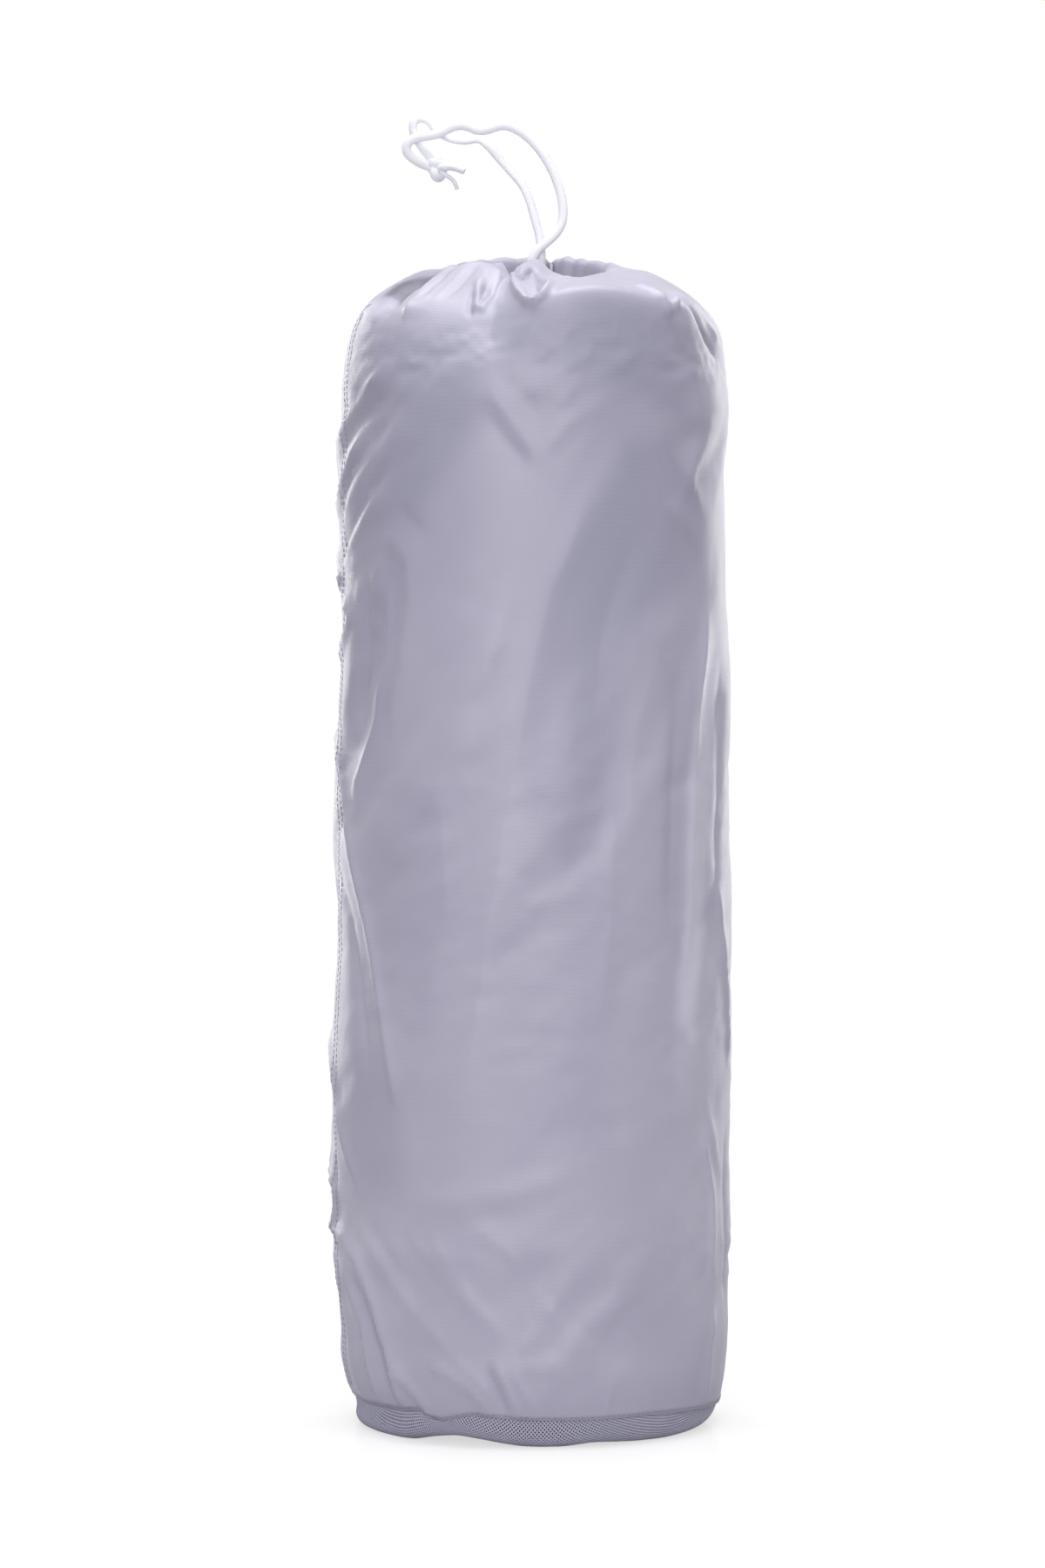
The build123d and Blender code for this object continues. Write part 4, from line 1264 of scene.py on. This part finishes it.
    # the second set of yarns crosses the first, a little higher
    turn = vectorOf(tree, 0.0, 0.0, calculate(tree, "RADIANS", given["Turn"]))
    turned = addNode(tree, "GeometryNodeTransform", {"Geometry": tube, "Rotation": turn})
    quarter = calculate(tree, "RADIANS", calculate(tree, "ADD", given["Turn"], 90.0))
    across = {
        "Geometry": tube,
        "Rotation": vectorOf(tree, 0.0, 0.0, quarter),
        "Translation": vectorOf(tree, 0.0, 0.0, given["Crossing Lift"]),
    }
    crossing = addNode(tree, "GeometryNodeTransform", across)
    both = addNode(tree, "GeometryNodeJoinGeometry")
    for part in (turned, crossing):
        feedSocket(tree, both.inputs[0], part.outputs[0])
    return finishTree(tree, both.outputs[0], given, result)


netTree = makeNetTree()


def makeNet(name, cut):
    piece = linkObject(name, bpy.data.meshes.new(name))
    sizes = {
        "Pitch": cut["pitch"] * mm,
        "Yarn Width": cut["yarn"] * mm,
        "Yarn Thickness": cut["thick"] * mm,
        "Flat Radius": cut["flatRadius"] * mm,
        "Bend Radius": cut["bend"] * mm,
        "Bend Degrees": cut["slope"],
        "Reach": cut["reach"] * mm,
        "Turn": cut["turn"],
        "Lift": cut["lift"] * mm,
    }
    return useTree(piece, netTree, name, Material=meshMaterial, **sizes)


def followBase(piece):
    # lift the edge of the base off the floor here and there, and let its top follow the seam
    mesh = piece.data
    points = np.zeros(len(mesh.vertices) * 3, dtype=np.float32)
    mesh.vertices.foreach_get("co", points)
    points = points.reshape(-1, 3) / mm
    azimuth = np.degrees(np.arctan2(points[:, 0], -points[:, 1]))
    radius, height = np.hypot(points[:, 0], points[:, 1]), points[:, 2].copy()
    lift = byAzimuth(baseLifts, azimuth, 2.0) * smoothStep(radius, 52, 82) * (1 - smoothStep(height, 3, 12))
    seam = (byAzimuth(seamHeights, azimuth, 1.2) - nylonCut["seamLevel"]) * smoothStep(height, 3, 12)
    points[:, 2] = height + lift + seam
    leftward = np.clip(-np.sin(np.radians(azimuth)), 0, 1) ** 2
    pull = 1 - 3.3 * leftward * smoothStep(height, 0, 10) / np.maximum(radius, 1)
    points[:, :2] *= pull[:, None]
    mesh.vertices.foreach_set("co", (points * mm).astype(np.float32).ravel())
    mesh.update()
    return piece


baseNet = followBase(makeNet("baseNet", meshCut))
print("stage: mesh base made,", len(baseNet.data.polygons), "faces")


bindingTape = {
    "corners": [(92.3, 14.4), (93.1, 14.6), (93.9, 18.0), (95.2, 24.2), (94.3, 24.5), (92.9, 18.2)],
    "columns": 240,
    "wobble": 0.25,
    "seed": 3,
}


def ringBand(name, band, material):
    # a closed band turned about the axis, its corners (radius, height) in order
    corners, columns = band["corners"], band["columns"]
    waves = np.random.default_rng(band["seed"]).random(columns) * 2 - 1
    waves = (waves + np.roll(waves, 1) + np.roll(waves, -1)) / 3
    vertices, faces = [], []
    count = len(corners)
    for j in range(columns):
        angle = 2 * math.pi * j / columns
        for radius, height in corners:
            reach = radius + band["wobble"] * waves[j]
            vertices.append((reach * math.sin(angle) * mm, -reach * math.cos(angle) * mm, height * mm))
    for j in range(columns):
        k = (j + 1) % columns
        for i in range(count):
            n = (i + 1) % count
            faces.append((j * count + i, k * count + i, k * count + n, j * count + n))
    return meshObject(name, vertices, faces, material)


tapeRing = followBase(ringBand("bindingTapeRing", bindingTape, tapeMaterial))


def makeStitchTree():
    # stitches along a curve, each a short rounded loop of thread
    tree, given, result = newGeometryTree(
        "stitchRow",
        [
            ("Pitch", "NodeSocketFloat", 0.003),
            ("Stitch Length", "NodeSocketFloat", 0.0024),
            ("Thread Radius", "NodeSocketFloat", 0.00022),
            ("Seed", "NodeSocketInt", 4),
            ("Material", "NodeSocketMaterial", None),
        ],
    )
    spacing = {"Curve": given["Geometry"], "Length": given["Pitch"]}
    spaced = addNode(tree, "GeometryNodeCurveToPoints", spacing, mode="LENGTH").outputs
    loop = addNode(tree, "GeometryNodeCurvePrimitiveLine", {"Start": (0, 0, -0.5), "End": (0, 0, 0.5)})
    steps = addNode(tree, "GeometryNodeResampleCurve", {"Curve": loop.outputs[0], "Count": 5}, mode="COUNT")
    factor = addNode(tree, "GeometryNodeSplineParameter").outputs["Factor"]
    swell = calculate(tree, "SINE", calculate(tree, "MULTIPLY", factor, math.pi))
    swell = calculate(tree, "MULTIPLY_ADD", swell, 0.7, 0.3)
    shaped = addNode(tree, "GeometryNodeSetCurveRadius", {"Curve": steps.outputs[0], "Radius": swell})
    thread = {"Resolution": 6, "Radius": given["Thread Radius"]}
    ring = addNode(tree, "GeometryNodeCurvePrimitiveCircle", thread, mode="RADIUS")
    size = vectorOf(tree, 1.0, 1.0, given["Stitch Length"])
    stretched = addNode(tree, "GeometryNodeTransform", {"Geometry": shaped.outputs[0], "Scale": size})
    skin = {
        "Curve": stretched.outputs[0],
        "Profile Curve": ring.outputs[0],
        "Scale": addNode(tree, "GeometryNodeInputRadius").outputs[0],
        "Fill Caps": True,
    }
    tube = addNode(tree, "GeometryNodeCurveToMesh", skin)
    uneven = {2: 0.9, 3: 1.08, "Seed": given["Seed"]}
    jitter = addNode(tree, "FunctionNodeRandomValue", uneven, data_type="FLOAT")
    sewn = {
        "Points": spaced["Points"],
        "Rotation": spaced["Rotation"],
        "Instance": tube.outputs[0],
        "Scale": jitter.outputs[1],
    }
    copies = addNode(tree, "GeometryNodeInstanceOnPoints", sewn)
    return finishTree(tree, copies.outputs[0], given, result)


stitchTree = makeStitchTree()


def pathCurve(name, points, closed):
    data = bpy.data.curves.new(name, "CURVE")
    data.dimensions = "3D"
    spline = data.splines.new("POLY")
    spline.points.add(len(points) - 1)
    for point, place in zip(spline.points, points):
        point.co = (*place, 1)
    spline.use_cyclic_u = closed
    return linkObject(name, data)


def surfacePoint(cloth, azimuth, run, lift):
    # a place on the nylon, `lift` metres off it
    grid, runs = cloth["outer"], cloth["runs"]
    rows, columns, _ = grid.shape
    turns = np.append(cloth["azimuth"][0], 180.0)
    column = np.interp((azimuth + 180) % 360 - 180, turns, np.arange(columns + 1))
    row = np.interp(run, runs[:, 0], np.arange(rows))

    def at(rowPlace, columnPlace):
        i = int(min(max(rowPlace, 0), rows - 1.001))
        j = int(columnPlace) % columns
        u, v = columnPlace - int(columnPlace), rowPlace - i
        k = (j + 1) % columns
        low = grid[i, j] * (1 - u) + grid[i, k] * u
        high = grid[i + 1, j] * (1 - u) + grid[i + 1, k] * u
        return low * (1 - v) + high * v

    here = at(row, column)
    along = at(row + 0.5, column) - at(row - 0.5, column)
    across = at(row, column + 0.5) - at(row, column - 0.5)
    normal = np.cross(across, along)
    return here + normal / np.linalg.norm(normal) * lift


stitches = {
    "side": {"pitch": 3.0, "length": 2.3, "radius": 0.22, "aside": 3.0, "runs": range(8, 566, 2)},
    "base": {"pitch": 2.8, "length": 2.1, "radius": 0.24, "run": 1.5, "azimuths": np.arange(-180, 180, 1.5)},
    "hem": {"pitch": 3.0, "length": 2.2, "radius": 0.2, "azimuths": np.arange(-180, 180, 3.0)},
    "lift": 0.0001,  # metres off the cloth
}


def stitchRow(name, places, closed, thread):
    curve = pathCurve(name, [surfacePoint(cloth, *place, stitches["lift"]) for place in places], closed)
    sizes = {
        "Pitch": thread["pitch"] * mm,
        "Stitch Length": thread["length"] * mm,
        "Thread Radius": thread["radius"] * mm,
    }
    return useTree(curve, stitchTree, name, Material=threadMaterial, **sizes)


sideThread, baseThread, hemThread = stitches["side"], stitches["base"], stitches["hem"]
sideTurn = math.degrees(sideThread["aside"] / nylonCut["wallRadius"])
sideRows = [
    stitchRow(
        name,
        [(nylonCut["seamAzimuth"] + side * sideTurn, run) for run in sideThread["runs"]],
        False,
        sideThread,
    )
    for name, side in (("sideStitchesFront", 1), ("sideStitchesRear", -1))
]
baseLine = [(azimuth, baseThread["run"]) for azimuth in baseThread["azimuths"]]
baseStitches = stitchRow("baseStitches", baseLine, True, baseThread)
hemLine = [(azimuth, cloth["hemRun"]) for azimuth in hemThread["azimuths"]]
hemStitches = stitchRow("hemStitches", hemLine, True, hemThread)
print("stage: stitches made")

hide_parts("body_panel", "gathered_crown", "mouth_channel", "side_seam_allowance")
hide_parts("mesh_base")
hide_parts("base_binding")
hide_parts("side_seam_thread")
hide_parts("base_thread")
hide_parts("channel_thread")
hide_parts("drawcord_in_channel")
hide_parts("drawcord_front_strand")
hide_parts("drawcord_rear_strand")
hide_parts("end_knot")
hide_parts("knot_tails")
for piece in (nylonBody, baseNet, tapeRing, *sideRows, baseStitches, hemStitches, channelCord):
    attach(piece, "bag")
for piece in (frontCord, rearCord, knotBody, tailUpper, tailLower):
    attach(piece, "drawcord")


studioFloor = {
    "paper": (0.36, 0.36, 0.36),  # what keeps the shadow
    "glow": 0.64,
    "mirror": 0.08,
    "bounce": (0.62, 0.62, 0.64),  # what the bag itself sees of the floor
    "near": 0.55,  # metres from the axis where the shadowed paper turns to plain white
    "far": 0.95,
}


def makeFloor(look):
    points = [(-6, -4, 0), (6, -4, 0), (6, 9, 0), (-6, 9, 0)]
    floor = meshObject("studioFloor", points, [(0, 1, 2, 3)])
    material = newMaterial("studioPaper")
    tree = material.node_tree
    paper = addNode(tree, "ShaderNodeBsdfDiffuse", {"Color": look["paper"]})
    glow = addNode(tree, "ShaderNodeEmission", {"Strength": look["glow"]})
    shine = {"Color": (look["mirror"],) * 3, "Roughness": 0.06}
    gloss = addNode(tree, "ShaderNodeBsdfGlossy", shine)
    lit = addNode(tree, "ShaderNodeAddShader", {0: paper.outputs[0], 1: glow.outputs[0]})
    near = addNode(tree, "ShaderNodeAddShader", {0: lit.outputs[0], 1: gloss.outputs[0]})
    # far from the bag the paper is white for the camera
    place = addNode(tree, "ShaderNodeTexCoord").outputs["Object"]
    away = addNode(tree, "ShaderNodeVectorMath", {0: place}, operation="LENGTH").outputs["Value"]
    band = {"From Min": look["near"], "From Max": look["far"], "Value": away}
    spread = addNode(tree, "ShaderNodeMapRange", band, interpolation_type="SMOOTHSTEP").outputs["Result"]
    far = addNode(tree, "ShaderNodeEmission")
    shown = addNode(tree, "ShaderNodeMixShader", {0: spread, 1: near.outputs[0], 2: far.outputs[0]})
    plain = addNode(tree, "ShaderNodeBsdfDiffuse", {"Color": look["bounce"]})
    seen = addNode(tree, "ShaderNodeLightPath").outputs["Is Camera Ray"]
    mix = addNode(tree, "ShaderNodeMixShader", {0: seen, 1: plain.outputs[0], 2: shown.outputs[0]})
    floor.data.materials.append(finishMaterial(material, mix))


studioRoom = {"colour": (0.95, 0.95, 1.0), "strength": 0.34, "seenByGloss": 0.75}


def makeWorld(look):
    world = bpy.data.worlds.new("studio")
    world.use_nodes = True
    bpy.context.scene.world = world
    tree = world.node_tree
    tree.nodes.clear()
    white = addNode(tree, "ShaderNodeBackground", {"Color": (1, 1, 1)})
    room = addNode(tree, "ShaderNodeBackground", {"Color": look["colour"], "Strength": look["strength"]})
    sheen = addNode(tree, "ShaderNodeBackground", {"Color": (1, 1, 1), "Strength": look["seenByGloss"]})
    seen = addNode(tree, "ShaderNodeLightPath").outputs
    toBag = {0: seen["Is Glossy Ray"], 1: room.outputs[0], 2: sheen.outputs[0]}
    lit = addNode(tree, "ShaderNodeMixShader", toBag)
    toAll = {0: seen["Is Camera Ray"], 1: lit.outputs[0], 2: white.outputs[0]}
    mix = addNode(tree, "ShaderNodeMixShader", toAll)
    addNode(tree, "ShaderNodeOutputWorld", {"Surface": mix.outputs[0]})


studioLamps = [
    {"name": "overhead", "place": (0.0, -0.15, 2.1), "aim": (0, 0, 0.45), "size": (1.5, 1.2), "watts": 28.0},
    {"name": "leftStrip", "place": (-1.0, 1.7, 0.6), "aim": (0, 0, 0.33), "size": (0.3, 1.7), "watts": 10.0},
    {"name": "rightStrip", "place": (1.0, 1.7, 0.6), "aim": (0, 0, 0.33), "size": (0.3, 1.7), "watts": 8.5},
    {"name": "frontBox", "place": (-0.15, -3.0, 1.1), "aim": (0, 0, 0.3), "size": (1.6, 1.4), "watts": 37.0},
]


def makeLamp(lamp):
    data = bpy.data.lights.new(lamp["name"], "AREA")
    data.shape = "RECTANGLE"
    data.size, data.size_y = lamp["size"]
    data.energy = lamp["watts"]
    light = linkObject(lamp["name"], data)
    light.location = lamp["place"]
    direction = Vector(lamp["aim"]) - Vector(lamp["place"])
    light.rotation_euler = direction.to_track_quat("-Z", "Y").to_euler()
    light.visible_camera = False


makeFloor(studioFloor)
makeWorld(studioRoom)
for lamp in studioLamps:
    makeLamp(lamp)
bpy.context.scene.view_settings.view_transform = "Standard"
print("stage: studio made")
